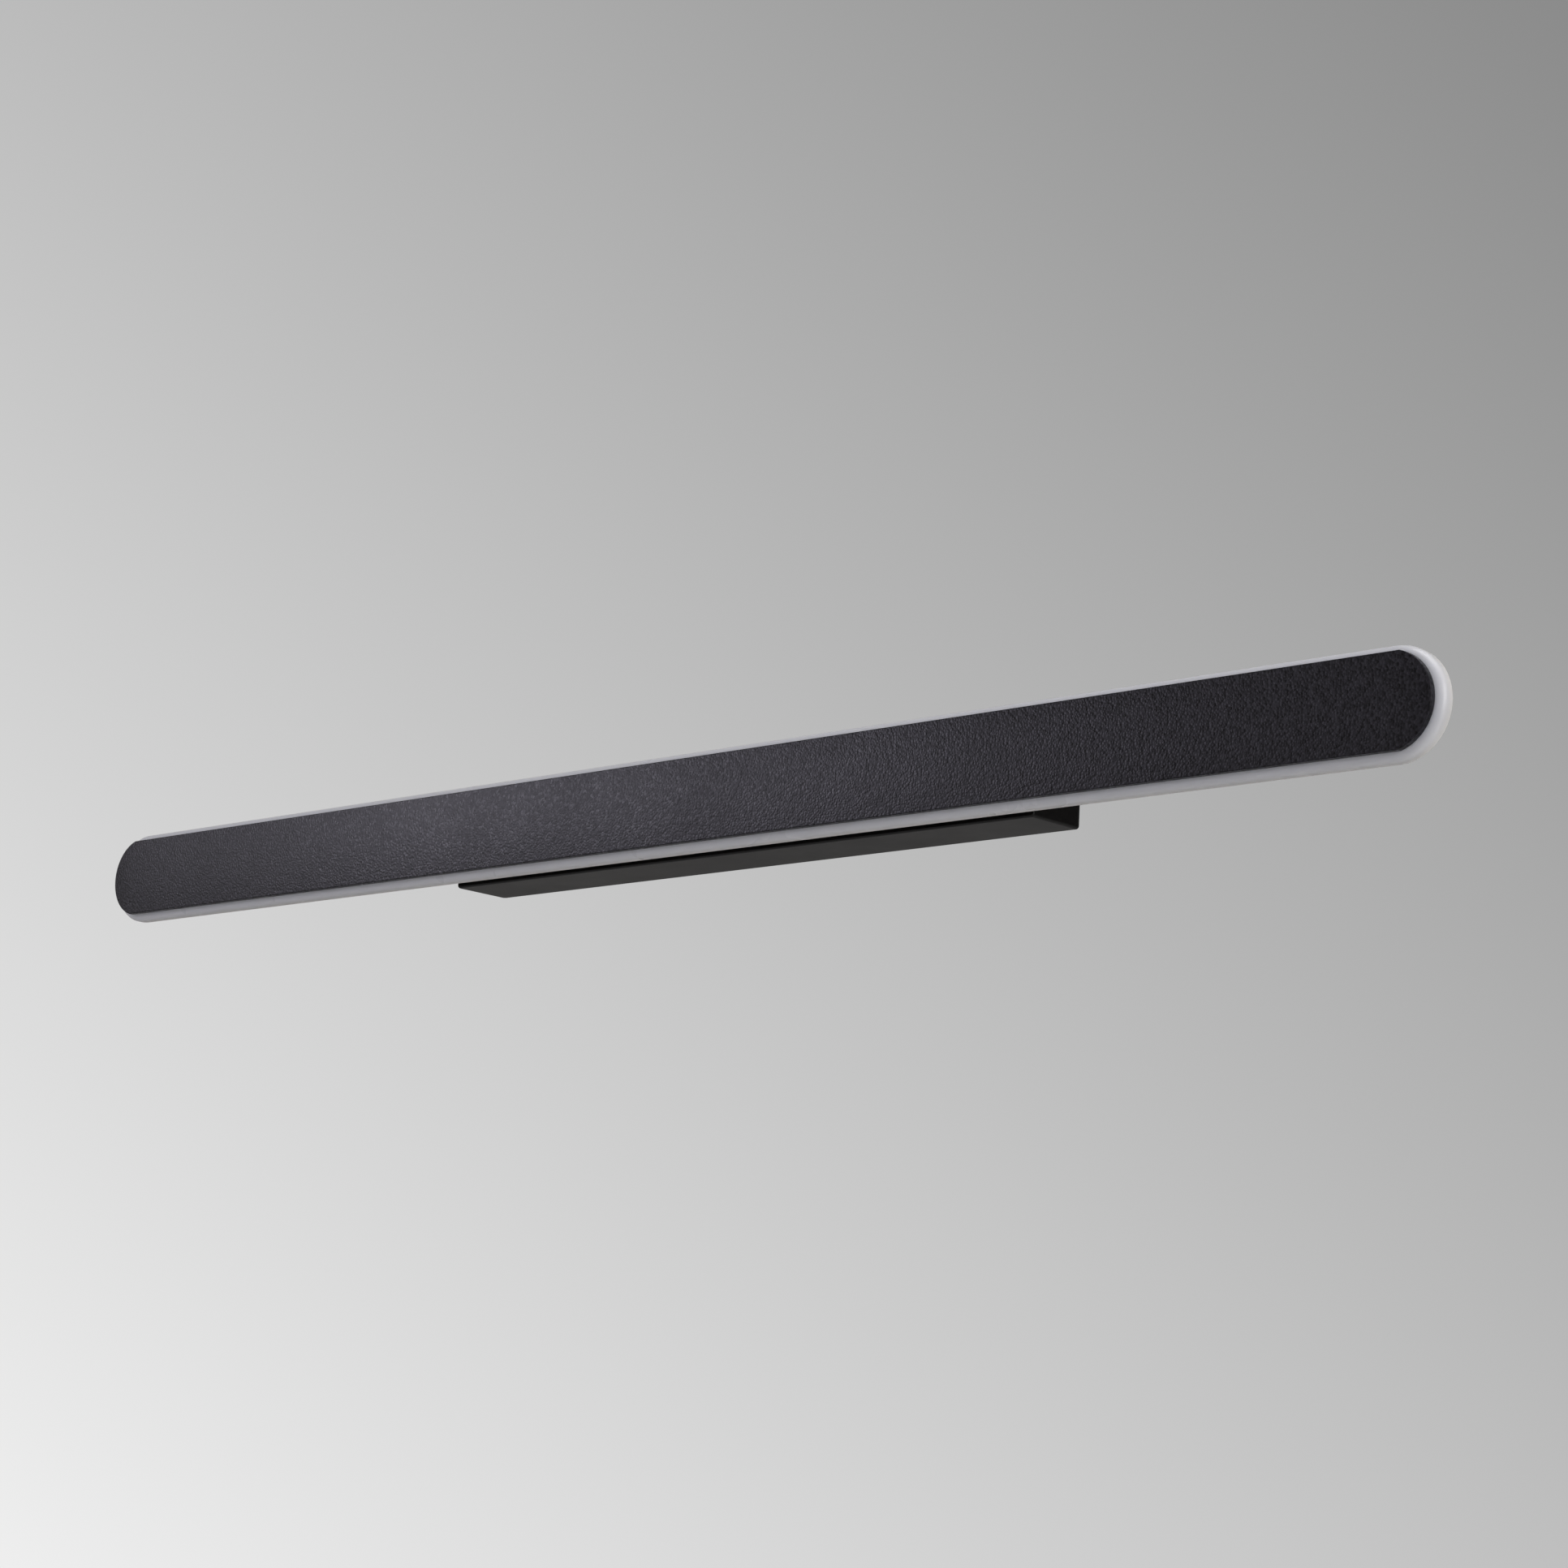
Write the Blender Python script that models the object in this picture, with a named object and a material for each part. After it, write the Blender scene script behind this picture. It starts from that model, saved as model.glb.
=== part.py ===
"""Vanity light bar: a long wall light with a black face, an opal diffuser and a box canopy.

The bar lies along X, its black face looks towards -Y and +Z is up. The origin is the middle of
the wall bracket's back face, where the light meets the wall. Depths are measured from the wall
towards the room, so a point at depth d has y = -d. All sizes are in metres.
"""

import math

import bmesh
import bpy
from mathutils import Matrix, Vector

MM = 0.001
GAP = 0.3 * MM

# Overall size of the light
BAR_LENGTH = 900 * MM
BAR_HEIGHT = 50 * MM
TOTAL_DEPTH = 80 * MM
BAR_END_RADIUS = BAR_HEIGHT / 2
END_STEPS = 18
TRAY_END_STEPS = 12

# Black front plate: a bar whose ends are a little flatter than half circles
PLATE_LENGTH = 892.6 * MM
PLATE_HEIGHT = 42.4 * MM
PLATE_END_RADIUS = 22 * MM
PLATE_THICKNESS = 3 * MM
PLATE_CHAMFER = 0.4 * MM

# Opal diffuser: a shallow dish behind the plate, wider than it all round
DIFFUSER_FRONT = TOTAL_DEPTH - PLATE_THICKNESS - GAP
DIFFUSER_BACK = 69.2 * MM
DIFFUSER_ROUND_OUT = 4.8 * MM
DIFFUSER_ROUND_DEEP = 3.6 * MM
DIFFUSER_FACE_THICKNESS = 2 * MM
DIFFUSER_RIM_THICKNESS = 2 * MM
DIFFUSER_INNER_WALL = 4 * MM
DIFFUSER_STEP_DEPTH = 72.6 * MM
ROUND_STEPS = 5

# Rear tray: a folded pan that carries the LED boards and closes the back of the diffuser
TRAY_BACK = 54 * MM
TRAY_SHEET = 1.5 * MM
TRAY_HALF_HEIGHT = 20 * MM
TRAY_HALF_LENGTH = 432 * MM
TRAY_CORNER = 1.2 * MM
FLANGE_BACK = 69.5 * MM
FLANGE_CLEARANCE = 0.4 * MM
SEAL_WIDTH = 1.4 * MM
TRAY_FLOOR = TRAY_BACK + TRAY_SHEET
FLANGE_FRONT = FLANGE_BACK + TRAY_SHEET

# Canopy on the wall
CANOPY_LENGTH = 400 * MM
CANOPY_HEIGHT = 36.5 * MM
CANOPY_DEPTH = 34.3 * MM
CANOPY_SHEET = 1.5 * MM
CANOPY_CORNER = 1.2 * MM
CANOPY_OUTLINE_CORNER = 1.7 * MM
GASKET_THICKNESS = 1 * MM
GASKET_WIDTH = 2.6 * MM
GASKET_INSET = 0.2 * MM
COVER_BACK = GASKET_THICKNESS + GAP
COVER_INSIDE = CANOPY_DEPTH - CANOPY_SHEET
BRACE_LENGTH = 350 * MM
BRACE_HEIGHT = 28 * MM
BRACE_SHEET = 2 * MM

# Wall bracket: a channel that the canopy cover slides over
BRACKET_LENGTH = 350 * MM
BRACKET_HALF_HEIGHT = 14.8 * MM
BRACKET_SHEET = 1.8 * MM
BRACKET_DEPTH = 12 * MM
SLOT_X = 160 * MM
SLOT_LENGTH = 10 * MM
SLOT_HEIGHT = 5 * MM
CABLE_HOLE_X = -62 * MM
CABLE_HOLE_RADIUS = 7 * MM
EARTH_X = -88 * MM
COVER_SCREW_X = 150 * MM
COVER_SCREW_DEPTH = 7 * MM
M3_RADIUS = 1.5 * MM
M3_HEAD = (2.8 * MM, 1.8 * MM)
M4_HEAD = (3.5 * MM, 2.2 * MM)

# Hollow stems that carry the bar in front of the canopy
STEM_X = 150 * MM
STEM_RADIUS = 5 * MM
STEM_BORE = 3.5 * MM
STEM_BACK = 24 * MM
STEM_FRONT = 62 * MM
SLEEVE_RADIUS = 8 * MM
NUT_WIDTH = 14 * MM
NUT_THICKNESS = 5 * MM

# Plate fixings
STUD_XS = (-330 * MM, -90 * MM, 90 * MM, 330 * MM)
STUD_RADIUS = 2 * MM
STUD_BACK = 64 * MM
SPACER_WIDTH = 7 * MM
BORE_RADIUS = STUD_RADIUS + GAP

# LED boards, two rows of two
BOARD_INNER_X = 6 * MM
BOARD_OUTER_X = 412 * MM
BOARD_Z = 13.1 * MM
BOARD_HEIGHT = 10 * MM
BOARD_THICKNESS = 1.6 * MM
BOARD_BACK = TRAY_FLOOR + GAP
BOARD_FRONT = BOARD_BACK + BOARD_THICKNESS
CHIPS_PER_BOARD = 14
CHIP_LENGTH = 3.5 * MM
CHIP_HEIGHT = 2.8 * MM
CHIP_THICKNESS = 0.7 * MM
BOARD_SCREW_XS = (35 * MM, 383 * MM)
BOARD_SCREW_RADIUS = 1.1 * MM

# Driver inside the canopy
DRIVER_X = (20 * MM, 130 * MM)
DRIVER_HEIGHT = 24 * MM
DRIVER_BACK = BRACKET_SHEET + GAP
DRIVER_FRONT = 21 * MM
DRIVER_LID = 1.5 * MM
DRIVER_WALL = 1.5 * MM
DRIVER_EAR = 9 * MM
DRIVER_LEAD_DEPTH = 10 * MM

# Terminal block inside the canopy
BLOCK_X = (-41 * MM, -11 * MM)
BLOCK_HEIGHT = 16 * MM
BLOCK_FRONT = 16 * MM
BLOCK_PITCH = 9 * MM
BLOCK_ENTRY_DEPTH = 7.5 * MM

LEAD_RADIUS = 0.9 * MM
ROUND_SIDES = 12
HOLE_SIDES = 12


def clear_scene():
    """Remove every object that the file opens with."""
    for item in list(bpy.data.objects):
        bpy.data.objects.remove(item, do_unlink=True)


def make_material(name, colour, roughness, metallic=0.0):
    """Return a Principled material with one colour."""
    material = bpy.data.materials.new(name)
    material.use_nodes = True
    shader = material.node_tree.nodes["Principled BSDF"]
    shader.inputs["Base Color"].default_value = (*colour, 1.0)
    shader.inputs["Roughness"].default_value = roughness
    shader.inputs["Metallic"].default_value = metallic
    return material


def pill(half_length, half_height, end_radius=None, steps=END_STEPS):
    """Outline of a bar with round ends, as (x, z) points from the lower right corner."""
    radius = end_radius or half_height
    centre = half_length - radius
    reach = math.asin(min(1.0, half_height / radius))
    points = []
    for side in (1, -1):
        for step in range(steps + 1):
            angle = reach * (2 * step / steps - 1)
            x = side * (centre + radius * math.cos(angle))
            points.append((x, side * radius * math.sin(angle)))
    return points


def rounded_rectangle(half_x, half_z, radius, steps=3):
    """Outline of a rectangle with round corners, as (x, z) points from the lower right."""
    points = []
    corners = ((1, -1), (1, 1), (-1, 1), (-1, -1))
    for quarter, (side_x, side_z) in enumerate(corners):
        centre = (side_x * (half_x - radius), side_z * (half_z - radius))
        for step in range(steps + 1):
            angle = math.pi / 2 * (quarter - 1 + step / steps)
            x = centre[0] + radius * math.cos(angle)
            points.append((x, centre[1] + radius * math.sin(angle)))
    return points


def circle(radius, sides=ROUND_SIDES):
    """Outline of a circle about the origin."""
    angles = [2 * math.pi * side / sides for side in range(sides)]
    return [(radius * math.cos(angle), radius * math.sin(angle)) for angle in angles]


def hexagon(width, sides=ROUND_SIDES):
    """Outline of a hexagon, with its flats facing up and down and points at their middles too."""
    points = []
    for side in range(sides):
        angle = 2 * math.pi * side / sides
        radius = width / 2 / math.cos(angle % (math.pi / 3) - math.pi / 6)
        points.append((radius * math.cos(angle), radius * math.sin(angle)))
    return points


def moved(outline, x, z=0.0):
    """Shift an outline's points."""
    return [(px + x, pz + z) for px, pz in outline]


def loft(rings, closed=False):
    """Mesh through rings of (outline, depth), capped at both ends or joined up when closed."""
    shape = bmesh.new()
    loops = []
    for outline, depth in rings:
        loops.append([shape.verts.new((x, -depth, z)) for x, z in outline])
    count = len(loops[0])
    following = loops[1:] + loops[:1] if closed else loops[1:]
    for first, second in zip(loops, following):
        for index in range(count):
            after = (index + 1) % count
            shape.faces.new((first[index], first[after], second[after], second[index]))
    if not closed:
        shape.faces.new(loops[0])
        shape.faces.new(loops[-1])
    bmesh.ops.recalc_face_normals(shape, faces=shape.faces)
    return shape


def boxes(ranges):
    """Mesh of separate boxes, each one ((x0, x1), (depth0, depth1), (z0, z1))."""
    shape = bmesh.new()
    for (x0, x1), (depth0, depth1), (z0, z1) in ranges:
        centre = Vector(((x0 + x1) / 2, -(depth0 + depth1) / 2, (z0 + z1) / 2))
        size = Vector((x1 - x0, depth1 - depth0, z1 - z0))
        matrix = Matrix.Translation(centre) @ Matrix.Diagonal((*size, 1.0))
        bmesh.ops.create_cube(shape, size=1.0, matrix=matrix)
    return shape


def rods(places, radius, length, direction, sides):
    """Mesh of separate cylinders centred on places, which lie along a direction."""
    shape = bmesh.new()
    turn = Vector((0, 0, 1)).rotation_difference(Vector(direction)).to_matrix().to_4x4()
    for x, depth, z in places:
        matrix = Matrix.Translation((x, -depth, z)) @ turn
        bmesh.ops.create_cone(shape, cap_ends=True, segments=sides, radius1=radius,
                              radius2=radius, depth=length, matrix=matrix)
    return shape


def add_object(name, shape, material=None, smooth=True):
    """Make an object from a bmesh, shaded smooth except across sharp edges."""
    mesh = bpy.data.meshes.new(name)
    shape.to_mesh(mesh)
    shape.free()
    if smooth:
        mesh.shade_smooth()
        mesh.set_sharp_from_angle(angle=math.radians(30))
    if material:
        mesh.materials.append(material)
    made = bpy.data.objects.new(name, mesh)
    bpy.context.scene.collection.objects.link(made)
    return made


def combine(target, shape, operation, label):
    """Cut a hidden helper shape out of a target, or join it on."""
    helper = add_object(f"{target.name}_{label}", shape, smooth=False)
    helper.hide_render = True
    helper.display_type = "WIRE"
    modifier = target.modifiers.new(label, "BOOLEAN")
    modifier.operation = operation
    modifier.object = helper
    modifier.solver = "EXACT"


def cut(target, shape, label):
    """Cut a hidden shape out of a target."""
    combine(target, shape, "DIFFERENCE", label)


def drill(target, places, radius, label, length=12 * MM, direction=(0, 1, 0),
          sides=HOLE_SIDES):
    """Drill round holes centred on places of (x, depth, z)."""
    cut(target, rods(places, radius, length, direction, sides), label)


def place(made, x, depth, z, turn=0.0):
    """Put an object at a depth, turned about its X axis."""
    made.location = (x, -depth, z)
    made.rotation_euler.x = turn
    return made


def screw(name, material, radius, length, head_radius, head_height, washer=0.0):
    """Socket-head screw along its own Y axis; the head's seat is at the origin."""
    chamfer = head_height * 0.25
    socket = head_radius * 1.1
    rings = [(circle(radius - 0.3 * MM), -length), (circle(radius), -length + 0.4 * MM),
             (circle(radius), 0.0)]
    if washer:
        rings += [(circle(washer), 0.0), (circle(washer), 0.6 * MM),
                  (circle(head_radius), 0.6 * MM)]
    else:
        rings.append((circle(head_radius), 0.0))
    rings += [(circle(head_radius), head_height - chamfer),
              (circle(head_radius - chamfer), head_height),
              (hexagon(socket), head_height), (hexagon(socket), head_height * 0.4)]
    return add_object(name, loft(rings), material)


def lead(name, material, route, radius=LEAD_RADIUS):
    """Insulated wire along a smooth curve through a route of (x, depth, z) points."""
    knots = [Vector((x, -depth, z)) for x, depth, z in route]
    knots = [2 * knots[0] - knots[1], *knots, 2 * knots[-1] - knots[-2]]
    path = []
    for before, start, end, after in zip(knots, knots[1:], knots[2:], knots[3:]):
        count = max(1, round((end - start).length / (5 * radius)))
        for step in range(count):
            t = step / count
            bend = (2 * before - 5 * start + 4 * end - after) * t * t
            swing = (3 * start - before - 3 * end + after) * t ** 3
            path.append(start + ((end - before) * t + bend + swing) / 2)
    path.append(knots[-2])
    curve = bpy.data.curves.new(name, "CURVE")
    curve.dimensions = "3D"
    curve.bevel_depth = radius
    curve.bevel_resolution = 2
    curve.use_fill_caps = True
    spline = curve.splines.new("POLY")
    spline.points.add(len(path) - 1)
    for point, position in zip(spline.points, path):
        point.co = (*position, 1.0)
    curve.materials.append(material)
    made = bpy.data.objects.new(name, curve)
    bpy.context.scene.collection.objects.link(made)
    return made


def make_front_plate(material):
    """Flat black plate with a fine chamfer round its front edge."""
    half_length, half_height = PLATE_LENGTH / 2, PLATE_HEIGHT / 2
    full = pill(half_length, half_height, PLATE_END_RADIUS)
    inset = pill(half_length - PLATE_CHAMFER, half_height - PLATE_CHAMFER,
                 PLATE_END_RADIUS - PLATE_CHAMFER)
    back = TOTAL_DEPTH - PLATE_THICKNESS
    rings = [(full, back), (full, TOTAL_DEPTH - PLATE_CHAMFER), (inset, TOTAL_DEPTH)]
    return add_object("front_plate", loft(rings), material)


def bar_outline(inset, steps=END_STEPS):
    """Outline of the bar, drawn in by the same distance all round."""
    return pill(BAR_LENGTH / 2 - inset, BAR_HEIGHT / 2 - inset, BAR_END_RADIUS - inset, steps)


def make_diffuser(material):
    """Opal dish: its front edge is rounded, and its back has a step that the seal sits on."""
    rings = []
    for step in range(ROUND_STEPS + 1):
        angle = math.pi / 2 * step / ROUND_STEPS
        inset = DIFFUSER_ROUND_OUT * (1 - math.sin(angle))
        depth = DIFFUSER_FRONT - DIFFUSER_ROUND_DEEP * (1 - math.cos(angle))
        rings.append((bar_outline(inset), depth))
    edge = 0.5 * MM
    ceiling = DIFFUSER_FRONT - DIFFUSER_FACE_THICKNESS
    rings += [(bar_outline(0.0), DIFFUSER_BACK + edge),
              (bar_outline(edge), DIFFUSER_BACK),
              (bar_outline(DIFFUSER_RIM_THICKNESS), DIFFUSER_BACK),
              (bar_outline(DIFFUSER_RIM_THICKNESS), DIFFUSER_STEP_DEPTH),
              (bar_outline(DIFFUSER_INNER_WALL), DIFFUSER_STEP_DEPTH),
              (bar_outline(DIFFUSER_INNER_WALL), ceiling)]
    diffuser = add_object("diffuser", loft(rings), material)
    places = [(x, DIFFUSER_FRONT, 0.0) for x in STUD_XS]
    drill(diffuser, places, BORE_RADIUS, "stud_holes")
    return diffuser


def make_diffuser_seal(material):
    """Silicone loop squeezed between the tray's flange and the diffuser's step."""
    inset = DIFFUSER_RIM_THICKNESS + FLANGE_CLEARANCE
    outer = bar_outline(inset, TRAY_END_STEPS)
    inner = bar_outline(inset + SEAL_WIDTH, TRAY_END_STEPS)
    back, front = FLANGE_FRONT + GAP, DIFFUSER_STEP_DEPTH - GAP
    rings = [(outer, back), (outer, front), (inner, front), (inner, back)]
    return add_object("diffuser_seal", loft(rings, closed=True), material)


def tray_outline(inset):
    """Outline of the tray's pan, drawn in by the same distance all round."""
    return pill(TRAY_HALF_LENGTH - inset, TRAY_HALF_HEIGHT - inset, steps=TRAY_END_STEPS)


def make_rear_tray(material):
    """Folded pan with a flange all round, and holes for stems and screws in its floor."""
    outside = tray_outline(0.0)
    edge = tray_outline(TRAY_CORNER)
    inside = tray_outline(TRAY_SHEET)
    flange = bar_outline(DIFFUSER_RIM_THICKNESS + FLANGE_CLEARANCE, TRAY_END_STEPS)
    rings = [(edge, TRAY_BACK), (outside, TRAY_BACK + TRAY_CORNER), (outside, FLANGE_BACK),
             (flange, FLANGE_BACK), (flange, FLANGE_FRONT), (inside, FLANGE_FRONT),
             (inside, TRAY_FLOOR)]
    tray = add_object("rear_tray", loft(rings), material)
    stems = [(side * STEM_X, TRAY_BACK, 0.0) for side in (-1, 1)]
    drill(tray, stems, STEM_RADIUS + GAP, "stem_holes")
    drill(tray, [(x, TRAY_BACK, 0.0) for x in STUD_XS], BORE_RADIUS, "spacer_holes")
    places = [(x, TRAY_BACK, z) for x, z in board_screw_places()]
    drill(tray, places, BOARD_SCREW_RADIUS + GAP, "board_holes", length=8 * MM, sides=8)
    return tray


def board_screw_places():
    """Places (x, z) of all the LED board screws."""
    rows = (BOARD_Z, -BOARD_Z)
    return [(side * x, z) for z in rows for side in (-1, 1) for x in BOARD_SCREW_XS]


def make_plate_fixings(stud_material, spacer_material, screw_material):
    """Studs on the plate's back, the hexagonal spacers they enter and the spacers' screws."""
    front, back = DIFFUSER_FRONT - DIFFUSER_FACE_THICKNESS - GAP, TRAY_FLOOR + GAP
    for number, x in enumerate(STUD_XS, start=1):
        stud = loft([(circle(STUD_RADIUS - 0.3 * MM), STUD_BACK),
                     (circle(STUD_RADIUS), STUD_BACK + 0.4 * MM),
                     (circle(STUD_RADIUS), DIFFUSER_FRONT)])
        place(add_object(f"plate_stud_{number}", stud, stud_material), x, 0.0, 0.0)
        spacer = loft([(hexagon(SPACER_WIDTH), back), (hexagon(SPACER_WIDTH), front),
                       (circle(BORE_RADIUS), front), (circle(BORE_RADIUS), back)], closed=True)
        place(add_object(f"spacer_{number}", spacer, spacer_material), x, 0.0, 0.0)
        fixing = screw(f"spacer_screw_{number}", screw_material, STUD_RADIUS, 8 * MM, *M4_HEAD)
        place(fixing, x, TRAY_BACK - GAP, 0.0, turn=math.pi)


def make_led_boards(board_material, screw_material):
    """Four boards with their rows of LEDs, each one held by two screws."""
    number = 0
    for row, z in (("upper", BOARD_Z), ("lower", -BOARD_Z)):
        for side, sign in (("left", -1), ("right", 1)):
            ends = sorted((sign * BOARD_INNER_X, sign * BOARD_OUTER_X))
            z_range = (z - BOARD_HEIGHT / 2, z + BOARD_HEIGHT / 2)
            plate = boxes([(ends, (BOARD_BACK, BOARD_FRONT), z_range)])
            board = add_object(f"led_board_{row}_{side}", plate, board_material)
            pitch = (ends[1] - ends[0]) / CHIPS_PER_BOARD
            chips = []
            for chip in range(CHIPS_PER_BOARD):
                x = ends[0] + pitch * (chip + 0.5)
                chips.append(((x - CHIP_LENGTH / 2, x + CHIP_LENGTH / 2),
                              (BOARD_FRONT - BOARD_THICKNESS / 4, BOARD_FRONT + CHIP_THICKNESS),
                              (z - CHIP_HEIGHT / 2, z + CHIP_HEIGHT / 2)))
            combine(board, boxes(chips), "UNION", "chips")
            holes = [(sign * x, BOARD_FRONT, z) for x in BOARD_SCREW_XS]
            drill(board, holes, BOARD_SCREW_RADIUS + GAP, "holes", sides=8)
            for x in BOARD_SCREW_XS:
                number += 1
                fixing = screw(f"board_screw_{number}", screw_material, BOARD_SCREW_RADIUS,
                               3.2 * MM, 2.2 * MM, 1.4 * MM)
                place(fixing, sign * x, BOARD_FRONT + GAP, z)


def make_stem(side, sign, tube_material, sleeve_material, nut_material):
    """Threaded tube with a sleeve round it and a nut at each end."""
    x = sign * STEM_X
    bore, outer = circle(STEM_BORE, HOLE_SIDES), circle(STEM_RADIUS, HOLE_SIDES)
    tube = loft([(outer, STEM_BACK), (outer, STEM_FRONT), (bore, STEM_FRONT),
                 (bore, STEM_BACK)], closed=True)
    place(add_object(f"stem_tube_{side}", tube, tube_material), x, 0.0, 0.0)
    inner = circle(STEM_RADIUS + GAP, HOLE_SIDES)
    outer = circle(SLEEVE_RADIUS, HOLE_SIDES)
    back, front = CANOPY_DEPTH + GAP, TRAY_BACK - GAP
    sleeve = loft([(outer, back), (outer, front), (inner, front), (inner, back)], closed=True)
    place(add_object(f"stem_sleeve_{side}", sleeve, sleeve_material), x, 0.0, 0.0)
    brace_back = COVER_INSIDE - GAP - BRACE_SHEET
    starts = (("rear", brace_back - GAP - NUT_THICKNESS), ("front", TRAY_FLOOR + GAP))
    hole = circle(STEM_RADIUS + GAP)
    for end, start in starts:
        stop = start + NUT_THICKNESS
        nut = loft([(hexagon(NUT_WIDTH), start), (hexagon(NUT_WIDTH), stop), (hole, stop),
                    (hole, start)], closed=True)
        place(add_object(f"stem_nut_{end}_{side}", nut, nut_material), x, 0.0, 0.0)


def make_canopy_cover(material):
    """Box open towards the wall, with round edges, stem holes in front and screw holes on top."""
    half_x, half_z = CANOPY_LENGTH / 2, CANOPY_HEIGHT / 2
    rings = []
    for step in range(4):
        angle = math.pi / 2 * step / 3
        inset = CANOPY_CORNER * (1 - math.sin(angle))
        depth = CANOPY_DEPTH - CANOPY_CORNER * (1 - math.cos(angle))
        outline = rounded_rectangle(half_x - inset, half_z - inset, CANOPY_OUTLINE_CORNER)
        rings.append((outline, depth))
    outside = rounded_rectangle(half_x, half_z, CANOPY_OUTLINE_CORNER)
    inside = rounded_rectangle(half_x - CANOPY_SHEET, half_z - CANOPY_SHEET, 0.4 * MM)
    rings += [(outside, COVER_BACK), (inside, COVER_BACK), (inside, COVER_INSIDE)]
    cover = add_object("canopy_cover", loft(rings), material)
    stems = [(side * STEM_X, CANOPY_DEPTH, 0.0) for side in (-1, 1)]
    drill(cover, stems, STEM_RADIUS + GAP, "stem_holes")
    drill(cover, cover_screw_places(half_z), M3_RADIUS + GAP, "screw_holes", length=8 * MM,
          direction=(0, 0, 1))
    return cover


def cover_screw_places(z):
    """Places (x, depth, z) of the two screws in the canopy's top side."""
    return [(side * COVER_SCREW_X, COVER_SCREW_DEPTH, z) for side in (-1, 1)]


def make_cover_screws(material):
    """Two screws down through the cover's top side into the bracket's upper flange."""
    for number, (x, depth, z) in enumerate(cover_screw_places(CANOPY_HEIGHT / 2), start=1):
        fixing = screw(f"cover_screw_{number}", material, M3_RADIUS, 6 * MM, *M3_HEAD)
        place(fixing, x, depth, z + GAP, turn=-math.pi / 2)


def make_canopy_brace(material):
    """Strip that stiffens the front of the cover between the stems."""
    outline = rounded_rectangle(BRACE_LENGTH / 2, BRACE_HEIGHT / 2, 3 * MM)
    front = COVER_INSIDE - GAP
    brace = add_object("canopy_brace", loft([(outline, front - BRACE_SHEET), (outline, front)]),
                       material)
    stems = [(side * STEM_X, front, 0.0) for side in (-1, 1)]
    drill(brace, stems, STEM_RADIUS + GAP, "stem_holes")
    return brace


def make_wall_gasket(material):
    """Foam loop between the cover's back edge and the wall."""
    half_x, half_z = CANOPY_LENGTH / 2 - GASKET_INSET, CANOPY_HEIGHT / 2 - GASKET_INSET
    outer = rounded_rectangle(half_x, half_z, CANOPY_OUTLINE_CORNER - GASKET_INSET)
    inner = rounded_rectangle(half_x - GASKET_WIDTH, half_z - GASKET_WIDTH, 0.5 * MM)
    rings = [(outer, 0.0), (outer, GASKET_THICKNESS), (inner, GASKET_THICKNESS), (inner, 0.0)]
    return add_object("wall_gasket", loft(rings, closed=True), material)


def make_wall_bracket(material):
    """Channel with wall slots, a cable hole, an earth hole and screw holes in its top flange."""
    half_x, half_z = BRACKET_LENGTH / 2, BRACKET_HALF_HEIGHT
    ends = (-half_x, half_x)
    bracket = add_object("wall_bracket", boxes([(ends, (0.0, BRACKET_DEPTH),
                                                 (-half_z, half_z))]), material)
    channel = boxes([((-half_x - 1 * MM, half_x + 1 * MM), (BRACKET_SHEET, BRACKET_DEPTH + 1 * MM),
                      (-half_z + BRACKET_SHEET, half_z - BRACKET_SHEET))])
    cut(bracket, channel, "channel")
    drill(bracket, [(CABLE_HOLE_X, 0.0, 0.0)], CABLE_HOLE_RADIUS, "cable_hole")
    ears = [(DRIVER_X[0] - DRIVER_EAR / 2, 0.0, 0.0), (DRIVER_X[1] + DRIVER_EAR / 2, 0.0, 0.0)]
    block = [((BLOCK_X[0] + BLOCK_X[1]) / 2 + BLOCK_PITCH / 2, 0.0, 0.0)]
    earth = [(EARTH_X, 0.0, 0.0)]
    drill(bracket, ears + block + earth, M3_RADIUS + GAP, "screw_holes")
    drill(bracket, cover_screw_places(half_z), M3_RADIUS + GAP, "flange_holes", length=6 * MM,
          direction=(0, 0, 1))
    for side, x in (("left", -SLOT_X), ("right", SLOT_X)):
        outline = moved(pill(SLOT_LENGTH / 2, SLOT_HEIGHT / 2, steps=6), x)
        cut(bracket, loft([(outline, -1 * MM), (outline, 4 * MM)]), f"slot_{side}")
    return bracket


def make_cable_grommet(material):
    """Rubber bush in the bracket's cable hole."""
    sleeve, flange, bore = CABLE_HOLE_RADIUS - GAP, CABLE_HOLE_RADIUS + 2.5 * MM, 4.5 * MM
    rings = [(sleeve, 0.2 * MM), (sleeve, BRACKET_SHEET + GAP), (flange, BRACKET_SHEET + GAP),
             (flange, BRACKET_SHEET + 1.6 * MM), (bore, BRACKET_SHEET + 2 * MM), (bore, 0.2 * MM)]
    shape = loft([(circle(radius, HOLE_SIDES), depth) for radius, depth in rings], closed=True)
    return place(add_object("cable_grommet", shape, material), CABLE_HOLE_X, 0.0, 0.0)


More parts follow.
